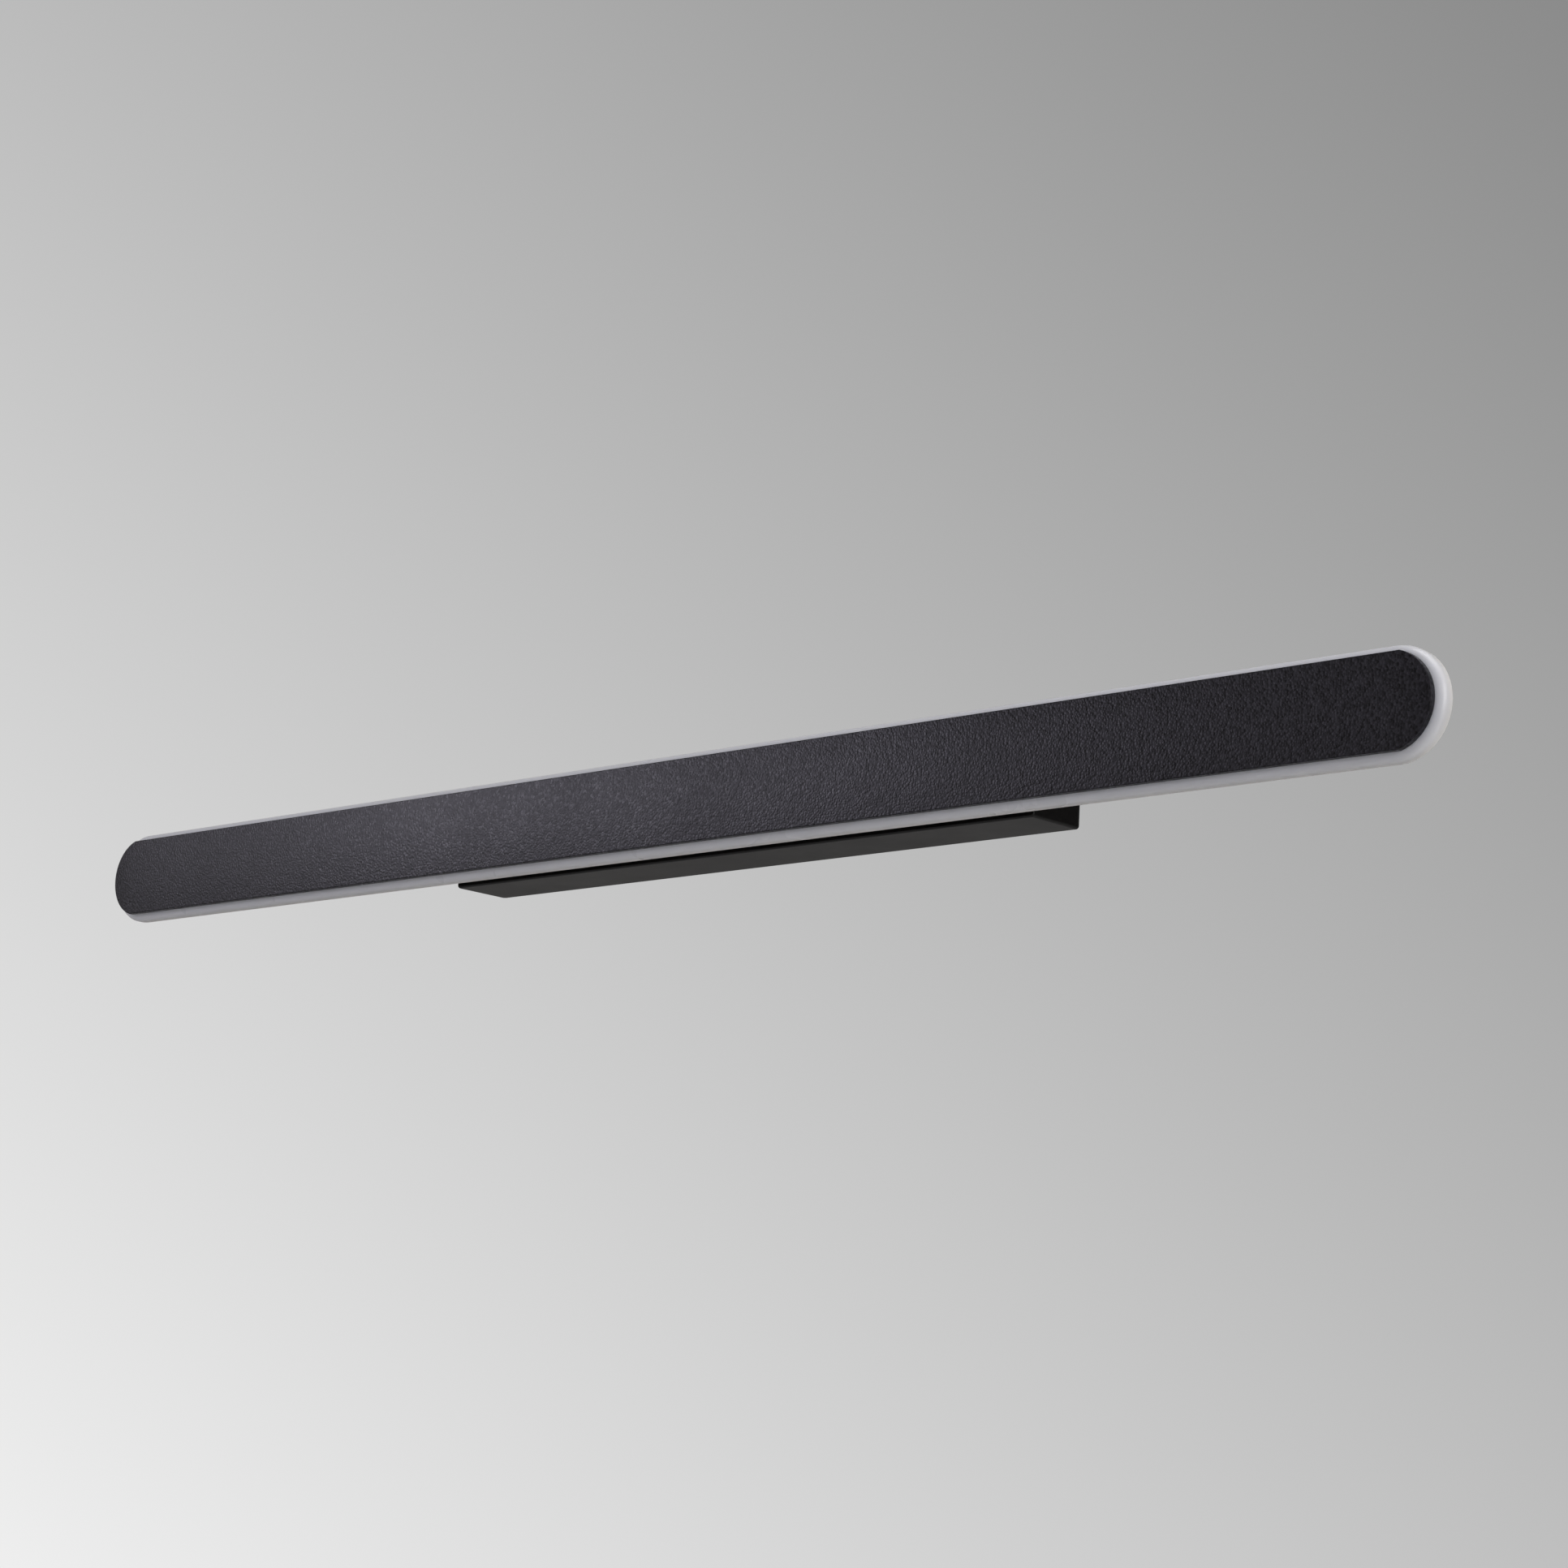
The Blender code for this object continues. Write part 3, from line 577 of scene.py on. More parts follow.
@shared("fine_grain", "Height", "Speckle")
def fine_grain(graph: Graph, vector: Socket, scale: Socket) -> tuple[Socket, ...]:
    """Fine grain: two noises, one 2.3 times as fine as the other, added and sharpened.

    Args:
        graph: the group's graph.
        vector: the place that the pattern follows.
        scale: grains per metre.

    Returns:
        The sockets of the height and of the speckle.
    """
    coarse = graph.add("TexNoise", Vector=vector, Scale=scale, Detail=1.0)
    fine = graph.add("TexNoise", Vector=vector, Scale=graph.calculate("MULTIPLY", scale, 2.3),
                     Detail=2.0)
    total = graph.calculate("ADD", coarse.outputs["Fac"], fine.outputs["Fac"])
    return graph.remap(total, (0.6, 1.4)), graph.remap(total, (0.93, 1.17))


@shared("paint_beads", "Tone", "Gloss", "Height")
def paint_beads(graph: Graph, vector: Socket, scale: Socket) -> tuple[Socket, ...]:
    """Beads of textured paint: cells with a tone and a gloss of their own, domed in height.

    Args:
        graph: the group's graph.
        vector: the place that the pattern follows.
        scale: beads per metre.

    Returns:
        The sockets of tone, gloss and height.
    """
    cells = graph.add("TexVoronoi", Vector=vector, Scale=scale)
    chance = graph.add("SeparateColor", Color=cells.outputs["Color"])
    dome = graph.remap(cells.outputs["Distance"], (0.0, 0.8), (1.0, 0.0))
    return chance.outputs[0], chance.outputs[1], dome


@shared("slow_haze", "Cloud")
def slow_haze(graph: Graph, vector: Socket, scale: Socket) -> tuple[Socket, ...]:
    """Slow variation over a surface: soft clouds with a little finer smudging in them.

    Args:
        graph: the group's graph.
        vector: the place that the pattern follows.
        scale: clouds per metre.

    Returns:
        The sockets of the cloud alone.
    """
    cloud = graph.add("TexNoise", Vector=vector, Scale=scale, Detail=4.0, Roughness=0.6,
                      Distortion=0.4)
    return (graph.remap(cloud.outputs["Fac"], (0.3, 0.7)),)


@shared("drawn_streaks", "Line")
def drawn_streaks(graph: Graph, vector: Socket, scale: Socket) -> tuple[Socket, ...]:
    """Drawn streaks along x: a noise stretched to 40 times its width.

    Args:
        graph: the group's graph.
        vector: the place that the pattern follows.
        scale: streaks per metre.

    Returns:
        The sockets of the lines alone.
    """
    squeeze = graph.add("Mapping", Vector=vector, Scale=(1 / 40, 1.0, 1.0))
    lines = graph.add("TexNoise", Vector=squeeze.outputs[0], Scale=scale, Detail=3.0)
    return (graph.remap(lines.outputs["Fac"], (0.3, 0.7)),)


# ---------------------------------------------------------------- finishes


@dataclass
class Coat(Graph):
    """A material's own graph, with its shader and the place that its patterns follow."""

    shader: bpy.types.Node
    place: Socket

    def effect(self, tree: bpy.types.NodeTree, scale: float) -> bpy.types.NodeOutputs:
        """Place a shared effect in the material and return its outputs."""
        return self.add("Group", {"node_tree": tree}, Vector=self.place, Scale=scale).outputs

    def give(self, **inputs: object) -> None:
        """Feed inputs of the shader, with _ for a space in their names."""
        self.fill(self.shader, **inputs)


@dataclass(frozen=True)
class Finish:
    """A surface finish: two tones, a range of roughness and a fine relief.

    The base colour runs from dark to light and the roughness over its range with a pattern, and
    the relief is a bump of the given height in metres. Grain and haze are patterns per metre.
    """

    slot: str
    dark: Colour
    light: Colour
    roughness: tuple[float, float]
    grain: float = 900.0
    relief: float = 0.02 * MM
    relief_strength: float = 0.2
    metallic: float = 0.0
    specular: float = 0.5
    haze: float = 14.0
    made: ClassVar[dict[str, bpy.types.Material]] = {}

    def material(self) -> bpy.types.Material:
        """Build the finish's material at its first use.

        Returns:
            The material.
        """
        if self.slot not in Finish.made:
            material = bpy.data.materials.new(self.slot)
            material.use_nodes = True
            tree = material.node_tree
            place = Graph(tree).add("TexCoord").outputs["Object"]
            coat = Coat(tree, tree.nodes["Principled BSDF"], place)
            coat.give(Metallic=self.metallic, Specular_IOR_Level=self.specular)
            self.paint(coat, coat.effect(slow_haze(), self.haze)["Cloud"])
            Finish.made[self.slot] = material
        return Finish.made[self.slot]

    def tone(self, coat: Coat, pattern: Socket) -> None:
        """Let the base colour run from dark to light with a pattern."""
        coat.give(Base_Color=coat.mix(pattern, self.dark, self.light))

    def gloss(self, coat: Coat, pattern: Socket, top: float = 1.0) -> None:
        """Let the roughness run over its range as a pattern runs from 0 to its top."""
        coat.give(Roughness=coat.remap(pattern, (0.0, top), self.roughness))

    def bump(self, coat: Coat, height: Socket) -> None:
        """Feed a height into the shader's normal.

        Args:
            coat: the material's graph.
            height: the height, where 1 is the whole relief.
        """
        relief = coat.add("Bump", Strength=self.relief_strength, Distance=self.relief,
                          Height=height)
        coat.give(Normal=relief.outputs[0])

    def paint(self, coat: Coat, haze: Socket) -> None:
        """Build the pattern: grain for colour and relief, and haze for roughness.

        Args:
            coat: the material's graph.
            haze: slow variation over the piece.
        """
        grain = coat.effect(fine_grain(), self.grain)
        self.tone(coat, grain["Speckle"])
        self.gloss(coat, haze)
        self.bump(coat, grain["Height"])


@dataclass(frozen=True)
class PowderCoat(Finish):
    """Textured powder coat: beads that differ in tone and gloss, over slow patches."""

    patch: float = 0.6
    sheen_tint: Colour = (0.94, 0.90, 1.0)

    def paint(self, coat: Coat, haze: Socket) -> None:
        """Build the pattern: beads for colour, roughness and relief, patches for roughness.

        Args:
            coat: the material's graph.
            haze: slow variation over the piece.
        """
        coat.give(Specular_Tint=(*self.sheen_tint, 1.0))
        beads = coat.effect(paint_beads(), self.grain)
        self.tone(coat, beads["Tone"])
        thick = coat.calculate("MULTIPLY_ADD", haze, self.patch, beads["Gloss"])
        self.gloss(coat, thick, 1.0 + self.patch)
        self.bump(coat, beads["Height"])


@dataclass(frozen=True)
class DrawnMetal(Finish):
    """Rolled or drawn metal, whose tone and roughness follow long streaks along x."""

    streak: float = 900.0

    def paint(self, coat: Coat, haze: Socket) -> None:
        """Build the pattern: haze for colour, and streaks for roughness and relief.

        Args:
            coat: the material's graph.
            haze: slow variation over the piece.
        """
        line = coat.effect(drawn_streaks(), self.streak)["Line"]
        self.tone(coat, haze)
        self.gloss(coat, line)
        self.bump(coat, line)


@dataclass(frozen=True)
class OpalAcrylic(Finish):
    """Opal acrylic, which glows a little inside, with painted shade: darker and bluer at its
    front beside the plate, lighter and warmer towards its rim.
    """

    # Depths between which the painted shade fades, from its darkest at the front to none at the
    # rim.
    painted_shade_front_depth: float = 77 * MM
    painted_shade_rim_depth: float = 69 * MM
    refraction: float = 1.49
    glow: float = 0.35
    glow_depth: float = 3 * MM
    glow_colour: Colour = (1.0, 0.95, 0.9)

    def paint(self, coat: Coat, haze: Socket) -> None:
        """Build the pattern: painted shade by depth, darker and bluer towards the front beside
        the plate, and faint haze in the gloss.

        Args:
            coat: the material's graph.
            haze: slow variation over the piece.
        """
        y = coat.add("SeparateXYZ", Vector=coat.place).outputs["Y"]
        # Painted shade: the tone runs from the dark colour at the front beside the plate to the
        # light colour at the rim.
        self.tone(coat, coat.remap(y, (-self.painted_shade_front_depth, -self.painted_shade_rim_depth)))
        self.gloss(coat, haze)
        self.bump(coat, haze)
        coat.give(IOR=self.refraction, Subsurface_Weight=self.glow,
                  Subsurface_Scale=self.glow_depth, Subsurface_Radius=self.glow_colour)


@dataclass(frozen=True)
class CircuitBoard(Finish):
    """White solder mask, with the yellow phosphor of the LEDs where the board stands highest."""

    phosphor: Colour = (0.83, 0.62, 0.12)
    phosphor_depth: float = 57.8 * MM

    def paint(self, coat: Coat, haze: Socket) -> None:
        """Build the pattern: grained mask below a depth, and phosphor above it.

        Args:
            coat: the material's graph.
            haze: slow variation over the piece.
        """
        grain = coat.effect(fine_grain(), self.grain)
        y = coat.add("SeparateXYZ", Vector=coat.place).outputs["Y"]
        high = coat.calculate("LESS_THAN", y, -self.phosphor_depth)
        mask = coat.mix(grain["Speckle"], self.dark, self.light)
        coat.give(Base_Color=coat.mix(high, mask, self.phosphor))
        self.gloss(coat, haze)
        self.bump(coat, grain["Height"])


class Finishes(Enum):
    """The light's finishes."""

    POWDER_COAT = PowderCoat("textured_black_paint", (0.0002, 0.0002, 0.0003),
                             (0.024, 0.0228, 0.0290), (0.23, 0.42), grain=820.0,
                             relief=0.08 * MM, relief_strength=1.0, specular=0.25,
                             haze=7.0)
    SATIN_PAINT = Finish("satin_black_paint", (0.003, 0.0025, 0.0022), (0.006, 0.005, 0.0046),
                         (0.31, 0.38), grain=420.0, relief=0.02 * MM, relief_strength=0.12,
                         specular=0.30)
    TRAY_PAINT = Finish("tray_black_paint", (0.008, 0.008, 0.009), (0.014, 0.014, 0.015),
                        (0.42, 0.50), grain=600.0, relief=0.03 * MM, relief_strength=0.2)
    # Painted shade: the dark, bluer tone is the diffuser's front shaded beside the plate; the
    # light, warmer tone is its rim.
    OPAL = OpalAcrylic("opal_acrylic", (0.71, 0.72, 0.78), (0.86, 0.83, 0.80), (0.26, 0.32),
                       relief=0.01 * MM, relief_strength=0.05)
    STEEL = DrawnMetal("zinc_plated_steel", (0.50, 0.51, 0.53), (0.66, 0.67, 0.68),
                       (0.28, 0.42), relief=0.01 * MM, relief_strength=0.15, metallic=1.0)
    BRASS = DrawnMetal("brass", (0.66, 0.47, 0.20), (0.78, 0.60, 0.31), (0.24, 0.36),
                       relief=0.01 * MM, relief_strength=0.15, metallic=1.0)
    BOARD = CircuitBoard("white_circuit_board", (0.80, 0.81, 0.79), (0.88, 0.88, 0.86),
                         (0.34, 0.42), grain=1500.0)
    SILICONE = Finish("silicone", (0.60, 0.60, 0.59), (0.72, 0.72, 0.71), (0.48, 0.6),
                      grain=700.0)
    FOAM = Finish("black_foam", (0.010, 0.010, 0.010), (0.035, 0.035, 0.034), (0.85, 0.95),
                  grain=1800.0, relief=0.25 * MM, relief_strength=0.7, specular=0.2)
    RUBBER = Finish("black_rubber", (0.014, 0.014, 0.014), (0.024, 0.024, 0.023), (0.6, 0.72),
                    grain=1300.0, relief=0.04 * MM, relief_strength=0.3)
    PLASTIC = Finish("white_plastic", (0.70, 0.70, 0.67), (0.78, 0.78, 0.75), (0.38, 0.46),
                     grain=1400.0, relief=0.04 * MM, relief_strength=0.3)
    BROWN = Finish("brown_insulation", (0.12, 0.045, 0.015), (0.17, 0.065, 0.025), (0.34, 0.42))
    BLUE = Finish("blue_insulation", (0.02, 0.08, 0.33), (0.035, 0.11, 0.42), (0.34, 0.42))
    GREEN = Finish("green_insulation", (0.05, 0.30, 0.04), (0.50, 0.52, 0.04), (0.34, 0.42),
                   grain=160.0)
    RED = Finish("red_insulation", (0.42, 0.015, 0.015), (0.52, 0.03, 0.025), (0.34, 0.42))
    BLACK = Finish("black_insulation", (0.014, 0.014, 0.014), (0.024, 0.024, 0.024),
                   (0.34, 0.42))
    WHITE = Finish("white_insulation", (0.72, 0.72, 0.71), (0.80, 0.80, 0.79), (0.34, 0.42))


# ---------------------------------------------------------------- turned pieces


@dataclass(frozen=True)
class Thread:
    """A threaded rod along the depth.

    The radius at angle a and depth d is the outer radius, less the thread's height times a
    triangle wave of d / pitch + a / (a full turn); both ends run out into a small chamfer.
    """

    radius: float
    pitch: float
    sides: int = 32
    steps_per_turn: int = 6
    height_per_pitch: float = 0.5

    def rings(self, low: float, high: float) -> list[np.ndarray]:
        """Rings of the rod.

        Args:
            low: depth of the end nearer to the wall.
            high: depth of the other end.

        Returns:
            The rings, from low to high.
        """
        height = self.height_per_pitch * self.pitch
        count = max(4, round((high - low) / self.pitch * self.steps_per_turn))
        depths = np.linspace(low, high, count + 1)
        turn = np.arange(self.sides) / self.sides
        phase = np.mod(depths[:, None] / self.pitch + turn[None, :], 1.0)
        radii = self.radius - height * np.abs(2 * phase - 1)
        ends = np.minimum(depths - low, high - depths)[:, None]
        return turned(np.minimum(radii, self.radius - height + ends), depths)


@dataclass(frozen=True)
class HexBody:
    """A hexagonal nut or spacer: a hexagon cut by a cone at both ends, with a round bore."""

    width: float
    bore: float
    chamfer: float = 0.8 * MM
    cone_slope: float = 1.8
    sides: int = 72
    steps: int = 6

    def surface(self, span: Span) -> Surface:
        """Surface of the body within a node's box.

        The radius at an angle is the hexagon's, or the cone's where that is smaller; the cone's
        radius grows with the distance from the nearer end.

        Args:
            span: where the node lies.

        Returns:
            Vertices and faces of the closed ring.
        """
        low, high = span.depth
        inset = np.linspace(0.0, self.chamfer, self.steps)
        depths = np.concatenate([low + inset, (high - inset)[::-1]])
        cone = self.width / 2 + self.cone_slope * np.minimum(depths - low, high - depths)
        hexagon = hexagon_radii(self.width, self.sides)
        rings = turned(np.minimum(hexagon[None, :], cone[:, None]), depths)
        lead_in = self.chamfer / 2
        rings += [circle(self.bore + wider, self.sides, depth) for wider, depth in
                  ((lead_in, high), (0.0, high - lead_in), (0.0, low + lead_in),
                   (lead_in, low))]
        return placed(rings, span)


class Facing(Enum):
    """Which way a screw's head looks: the turn of the screw's own frame about X in degrees."""

    ROOM = 0
    WALL = 180
    UP = -90


@dataclass(frozen=True)
class SocketScrew:
    """A screw with a low round head and a hexagonal socket, threaded below its head.

    The head's crown, socket and the socket's lead-in are shares of the head's own height and
    radius. A washer, where there is one, lies under the head and is made in one with it.
    """

    radius: float
    head_radius: float
    head_height: float
    pitch: float
    washer_radius: float = 0.0
    washer_height: float = 0.6 * MM
    sides: int = 48
    neck: float = 0.2 * MM
    seat_edge: float = 0.15 * MM
    crown_share: float = 0.35
    socket_share: float = 1.05
    socket_floor: float = 0.4
    lead_in_share: float = 1.12
    lead_in_depth: float = 0.12 * MM

    def surface(self, length: float) -> Surface:
        """Surface of the screw about the Y axis, with the head's seat at the origin.

        Args:
            length: length of the shank.

        Returns:
            Vertices and faces.
        """
        top, crown = self.head_height, self.crown_share * self.head_height
        seat = self.washer_height if self.washer_radius else 0.0
        steps = [(self.radius, 0.0)]
        if self.washer_radius:
            steps += [(self.washer_radius, 0.0), (self.washer_radius, seat),
                      (self.head_radius, seat)]
        steps += [(self.head_radius - self.seat_edge, seat),
                  (self.head_radius, seat + self.seat_edge)]
        rings = Thread(self.radius, self.pitch, self.sides).rings(-length, -self.neck)
        rings += [circle(radius, self.sides, depth) for radius, depth in steps]
        rings += bend(lambda inset: polar(self.head_radius - inset, self.sides),
                      (0.0, top - crown), (crown, top), True)
        socket = hexagon_radii(self.head_radius * self.socket_share, self.sides)
        rings += turned(np.stack([socket * self.lead_in_share, socket, socket]),
                        np.array([top, top - self.lead_in_depth, top * self.socket_floor]))
        return skin(rings)

    def build(self, node: str, facing: Facing, finish: Finishes) -> None:
        """Make the screw that stands for a node.

        Args:
            node: name of the frame's node.
            facing: which way its head looks.
            finish: its finish.
        """
        low, high = (np.array(corner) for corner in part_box(node))
        turn = np.array(Matrix.Rotation(math.radians(facing.value), 3, "X"))
        head = turn @ np.array([0.0, -1.0, 0.0])
        middle = (low + high) / 2
        total = float(np.abs(head @ (high - low)))
        seat = middle + head * (total / 2 - self.head_height)
        vertices, faces = self.surface(total - self.head_height)
        surface = (vertices @ turn.T + seat, faces)
        dress(add_piece(f"{node}_socket_head", surface), finish, node)


# ---------------------------------------------------------------- the bar


@dataclass
class FrontPlate:
    """The flat black plate, with ends flatter than half circles and a fine round edge."""

    end_radius: float = 22 * MM
    front_edge: float = 0.45 * MM
    back_edge: float = 0.15 * MM
    edge_steps: int = 9
    arc_steps: int = 30
    kink_angle: float = math.radians(13)

    def outline(self, inset: float) -> np.ndarray:
        """Outline of the plate, drawn in by the same distance all round."""
        span = Span.of("front_plate")
        return stadium(span.half_length - inset, span.half_height - inset,
                       self.end_radius - inset, self.arc_steps)

    def build(self) -> None:
        """Make the plate: rings from its front edge over the side to its back edge."""
        back, front = Span.of("front_plate").depth
        rings = bend(self.outline, (self.front_edge, front), (0.0, front - self.front_edge),
                     False, self.edge_steps)
        rings += bend(self.outline, (0.0, back + self.back_edge), (self.back_edge, back), True,
                      self.edge_steps)
        plate = add_piece("black_front_plate", skin(rings), smooth=self.kink_angle)
        dress(plate, Finishes.POWDER_COAT, "front_plate")


@dataclass
class Diffuser:
    """The opal dish behind the plate, with its stepped rim and four stud holes."""

    face_inset: float = 4.8 * MM
    face_round: float = 3.6 * MM
    rim_edge: float = 0.5 * MM
    rim_wall: float = 2 * MM
    inner_wall: float = 4 * MM
    face_wall: float = 2 * MM
    step_depth: float = 72.6 * MM
    hole_radius: float = 2.3 * MM
    hole_sides: int = 32
    round_steps: int = 14

    @staticmethod
    def outline(inset: float) -> np.ndarray:
        """Outline of the bar, drawn in by the same distance all round."""
        span = Span.of("diffuser")
        return stadium(span.half_length - inset, span.half_height - inset)

    def build(self) -> None:
        """Make the dish: rings over its face, round edge, rim, step and inner walls."""
        back, front = Span.of("diffuser").depth
        ceiling = front - self.face_wall
        wall, inner = self.rim_wall, self.inner_wall
        rings = bend(self.outline, (self.face_inset, front), (0.0, front - self.face_round),
                     False, self.round_steps)
        rings += bend(self.outline, (0.0, back + self.rim_edge), (self.rim_edge, back), True)
        rings += [ring(self.outline(inset), depth) for inset, depth in
                  ((wall, back), (wall, self.step_depth), (inner, self.step_depth))]
        rings += bend(self.outline, (inner, ceiling - self.face_wall),
                      (inner + self.rim_edge, ceiling), True)
        dish = add_piece("opal_diffuser", skin(rings))
        drill(dish, [hole(node, self.hole_radius, self.hole_sides, ceiling, front)
                     for node in nodes_named("plate_stud_")])
        dress(dish, Finishes.OPAL, "diffuser")


@dataclass
class RearTray:
    """The folded pan behind the diffuser, with round bends and drilled holes."""

    sheet: float = 1.5 * MM
    corner: float = 1.2 * MM
    bend_radius: float = 1.0 * MM
    floor_half_length: float = 432 * MM
    floor_half_height: float = 20 * MM
    trim: float = 0.25 * MM
    holes: tuple[tuple[str, float, int], ...] = (
        ("stem_tube_", 5.3 * MM, 48), ("spacer_screw_", 2.3 * MM, 24),
        ("board_screw_", 1.4 * MM, 16))

    def pan(self, inset: float) -> np.ndarray:
        """Outline of the pan, drawn in by the same distance all round."""
        return stadium(self.floor_half_length - inset, self.floor_half_height - inset)

    def flange(self, inset: float) -> np.ndarray:
        """Outline of the flange, drawn in by the same distance all round."""
        span = Span.of("rear_tray")
        return stadium(span.half_length - inset, span.half_height - inset)

    def build(self) -> None:
        """Make the tray: rings over its back, side, flange and inner faces."""
        back, front = Span.of("rear_tray").depth
        flange_back = front - self.sheet
        floor = back + self.sheet
        radius, sheet, trim = self.bend_radius, self.sheet, self.trim
        corners = (
            (self.pan, (self.corner, back), (0.0, back + self.corner), False, 5),
            (self.pan, (0.0, flange_back - radius), (-radius, flange_back), True, 5),
            (self.flange, (trim, flange_back), (0.0, flange_back + trim), False, 2),
            (self.flange, (0.0, front - trim), (trim, front), True, 2),
            (self.pan, (sheet - radius, front), (sheet, front - radius), False, 5),
            (self.pan, (sheet, floor + trim), (sheet + trim, floor), True, 2),
        )
        tray = add_piece("black_rear_tray", skin([points for corner in corners
                                                  for points in bend(*corner)]))
        drill(tray, [hole(node, radius, sides, back, floor)
                     for start, radius, sides in self.holes
                     for node in nodes_named(start)])
        dress(tray, Finishes.TRAY_PAINT, "rear_tray")


@dataclass
class LightEngine:
    """What the tray holds: LED boards, the seal, and the spacers and studs of the plate."""

    board_edge: float = 0.1 * MM
    seal_edge: float = 0.25 * MM
    stud: Thread = Thread(2 * MM, 0.7 * MM)
    spacer: HexBody = HexBody(7 * MM, 2.3 * MM, 0.5 * MM)

    def build(self) -> None:
        """Make all of it."""
        for node in nodes_named("led_board_"):
            refine(node, Finishes.BOARD, edge=self.board_edge, segments=1)
        refine("diffuser_seal", Finishes.SILICONE, edge=self.seal_edge)
        for node in nodes_named("plate_stud_"):
            span = Span.of(node)
            surface = placed(self.stud.rings(*span.depth), span, closed=False)
            dress(add_piece(f"{node}_threaded", surface), Finishes.STEEL, node)
        for node in nodes_named("spacer_"):
            if "screw" not in node:
                piece = add_piece(f"{node}_hexagonal", self.spacer.surface(Span.of(node)))
                dress(piece, Finishes.BRASS, node)


# ---------------------------------------------------------------- stems and canopy


@dataclass
class Stems:
    """The two hollow stems with their sleeves and nuts."""

    thread: Thread = Thread(5 * MM, 1 * MM, sides=48)
    bore: float = 3.5 * MM
    nut_width: float = 14 * MM
    sleeve_edge: float = 0.6 * MM
    sides: int = 64

    def build(self) -> None:
        """Make both stems."""
        for node in nodes_named("stem_tube_"):
            span = Span.of(node)
            rings = self.thread.rings(*span.depth)
            rings += [circle(self.bore, self.thread.sides, depth) for depth in span.depth[::-1]]
            dress(add_piece(f"{node}_threaded", placed(rings, span)), Finishes.STEEL, node)
        for node in nodes_named("stem_nut_"):
            nut = HexBody(self.nut_width, self.thread.radius + GAP)
            piece = add_piece(f"{node}_hexagonal", nut.surface(Span.of(node)))
            dress(piece, Finishes.STEEL, node)
        for node in nodes_named("stem_sleeve_"):
            self.sleeve(node)

    def sleeve(self, node: str) -> None:
        """Make one sleeve: a tube whose outer edges are round.

        Args:
            node: name of the frame's node that it stands for.
        """
        span = Span.of(node)
        low, high = span.depth
        outer, edge = span.half_height, self.sleeve_edge
        inner = self.thread.radius + GAP

        def outline(inset: float) -> np.ndarray:
            """Outline of the tube, drawn in by an inset."""
            return polar(outer - inset, self.sides)

        rings = bend(outline, (edge, low), (0.0, low + edge), False)
        rings += bend(outline, (0.0, high - edge), (edge, high), True)
        rings += [circle(inner, self.sides, high), circle(inner, self.sides, low)]
        dress(add_piece(f"{node}_tube", placed(rings, span)), Finishes.SATIN_PAINT, node)


@dataclass
class Canopy:
    """The box canopy: its cover, the brace inside it and the gasket behind it."""

    corner: float = 1.7 * MM
    edge: float = 1.2 * MM
    edge_steps: int = 8
    sheet: float = 1.5 * MM
    inner_corner: float = 0.4 * MM
    trim: float = 0.2 * MM
    stem_hole: float = 5.3 * MM
    screw_hole: float = 1.8 * MM
    hole_sides: tuple[int, int] = (48, 32)
    brace_edge: float = 0.3 * MM
    gasket_edge: float = 0.25 * MM

    def outline(self, inset: float, corner: float) -> np.ndarray:
        """Outline of the cover, drawn in by a distance, with its own corner radius."""
        span = Span.of("canopy_cover")
        return rounded_rectangle(span.half_length - inset, span.half_height - inset, corner)

    def build(self) -> None:
        """Make the cover, with round front edges, and refine what goes with it."""
        back, front = Span.of("canopy_cover").depth
        inner = self.outline(self.sheet, self.inner_corner)
        rings = bend(lambda inset: self.outline(inset, self.corner - inset),
                     (self.edge, front), (0.0, front - self.edge), False, self.edge_steps)
        rings += bend(lambda inset: self.outline(inset, self.corner),
                      (0.0, back + self.trim), (self.trim, back), True, 2)
        rings += [ring(inner, back), ring(inner, front - self.sheet)]
        cover = add_piece("black_canopy_cover", skin(rings))
        drill(cover, self.holes())
        dress(cover, Finishes.SATIN_PAINT, "canopy_cover")
        refine("canopy_brace", Finishes.STEEL, edge=self.brace_edge)
        refine("wall_gasket", Finishes.FOAM, edge=self.gasket_edge)

    def holes(self) -> list[Surface]:
        """Work out the stem holes in front and the screw holes on top.

        Returns:
            The closed surfaces to cut away.
        """
        span = Span.of("canopy_cover")
        front, top = span.depth[1], span.z[1]
        surfaces = [hole(node, self.stem_hole, self.hole_sides[0], front - 2 * self.sheet, front)
                    for node in nodes_named("stem_sleeve_")]
        for node in nodes_named("cover_screw_"):
            box = Span.of(node)
            across = polar(self.screw_hole, self.hole_sides[1])
            across += (box.middle[0], -sum(box.depth) / 2)
            surfaces.append(skin([np.insert(across, 2, height, axis=1)
                                  for height in (top - 3 * self.sheet, top + self.sheet)]))
        return surfaces


@dataclass
class WallMount:
    """The bracket on the wall and everything fixed to it inside the canopy."""

    edge: float = 0.35 * MM

    def build(self) -> None:
        """Refine the bracket, grommet, driver, terminal block and earth tag."""
        refine("wall_bracket", Finishes.STEEL, edge=self.edge)
        refine("cable_grommet", Finishes.RUBBER, edge=self.edge, segments=3)
        for node in ("driver_case", "driver_lid", "terminal_block"):
            refine(node, Finishes.PLASTIC, edge=self.edge)
        refine("earth_tag", Finishes.BRASS, edge=self.edge / 2)


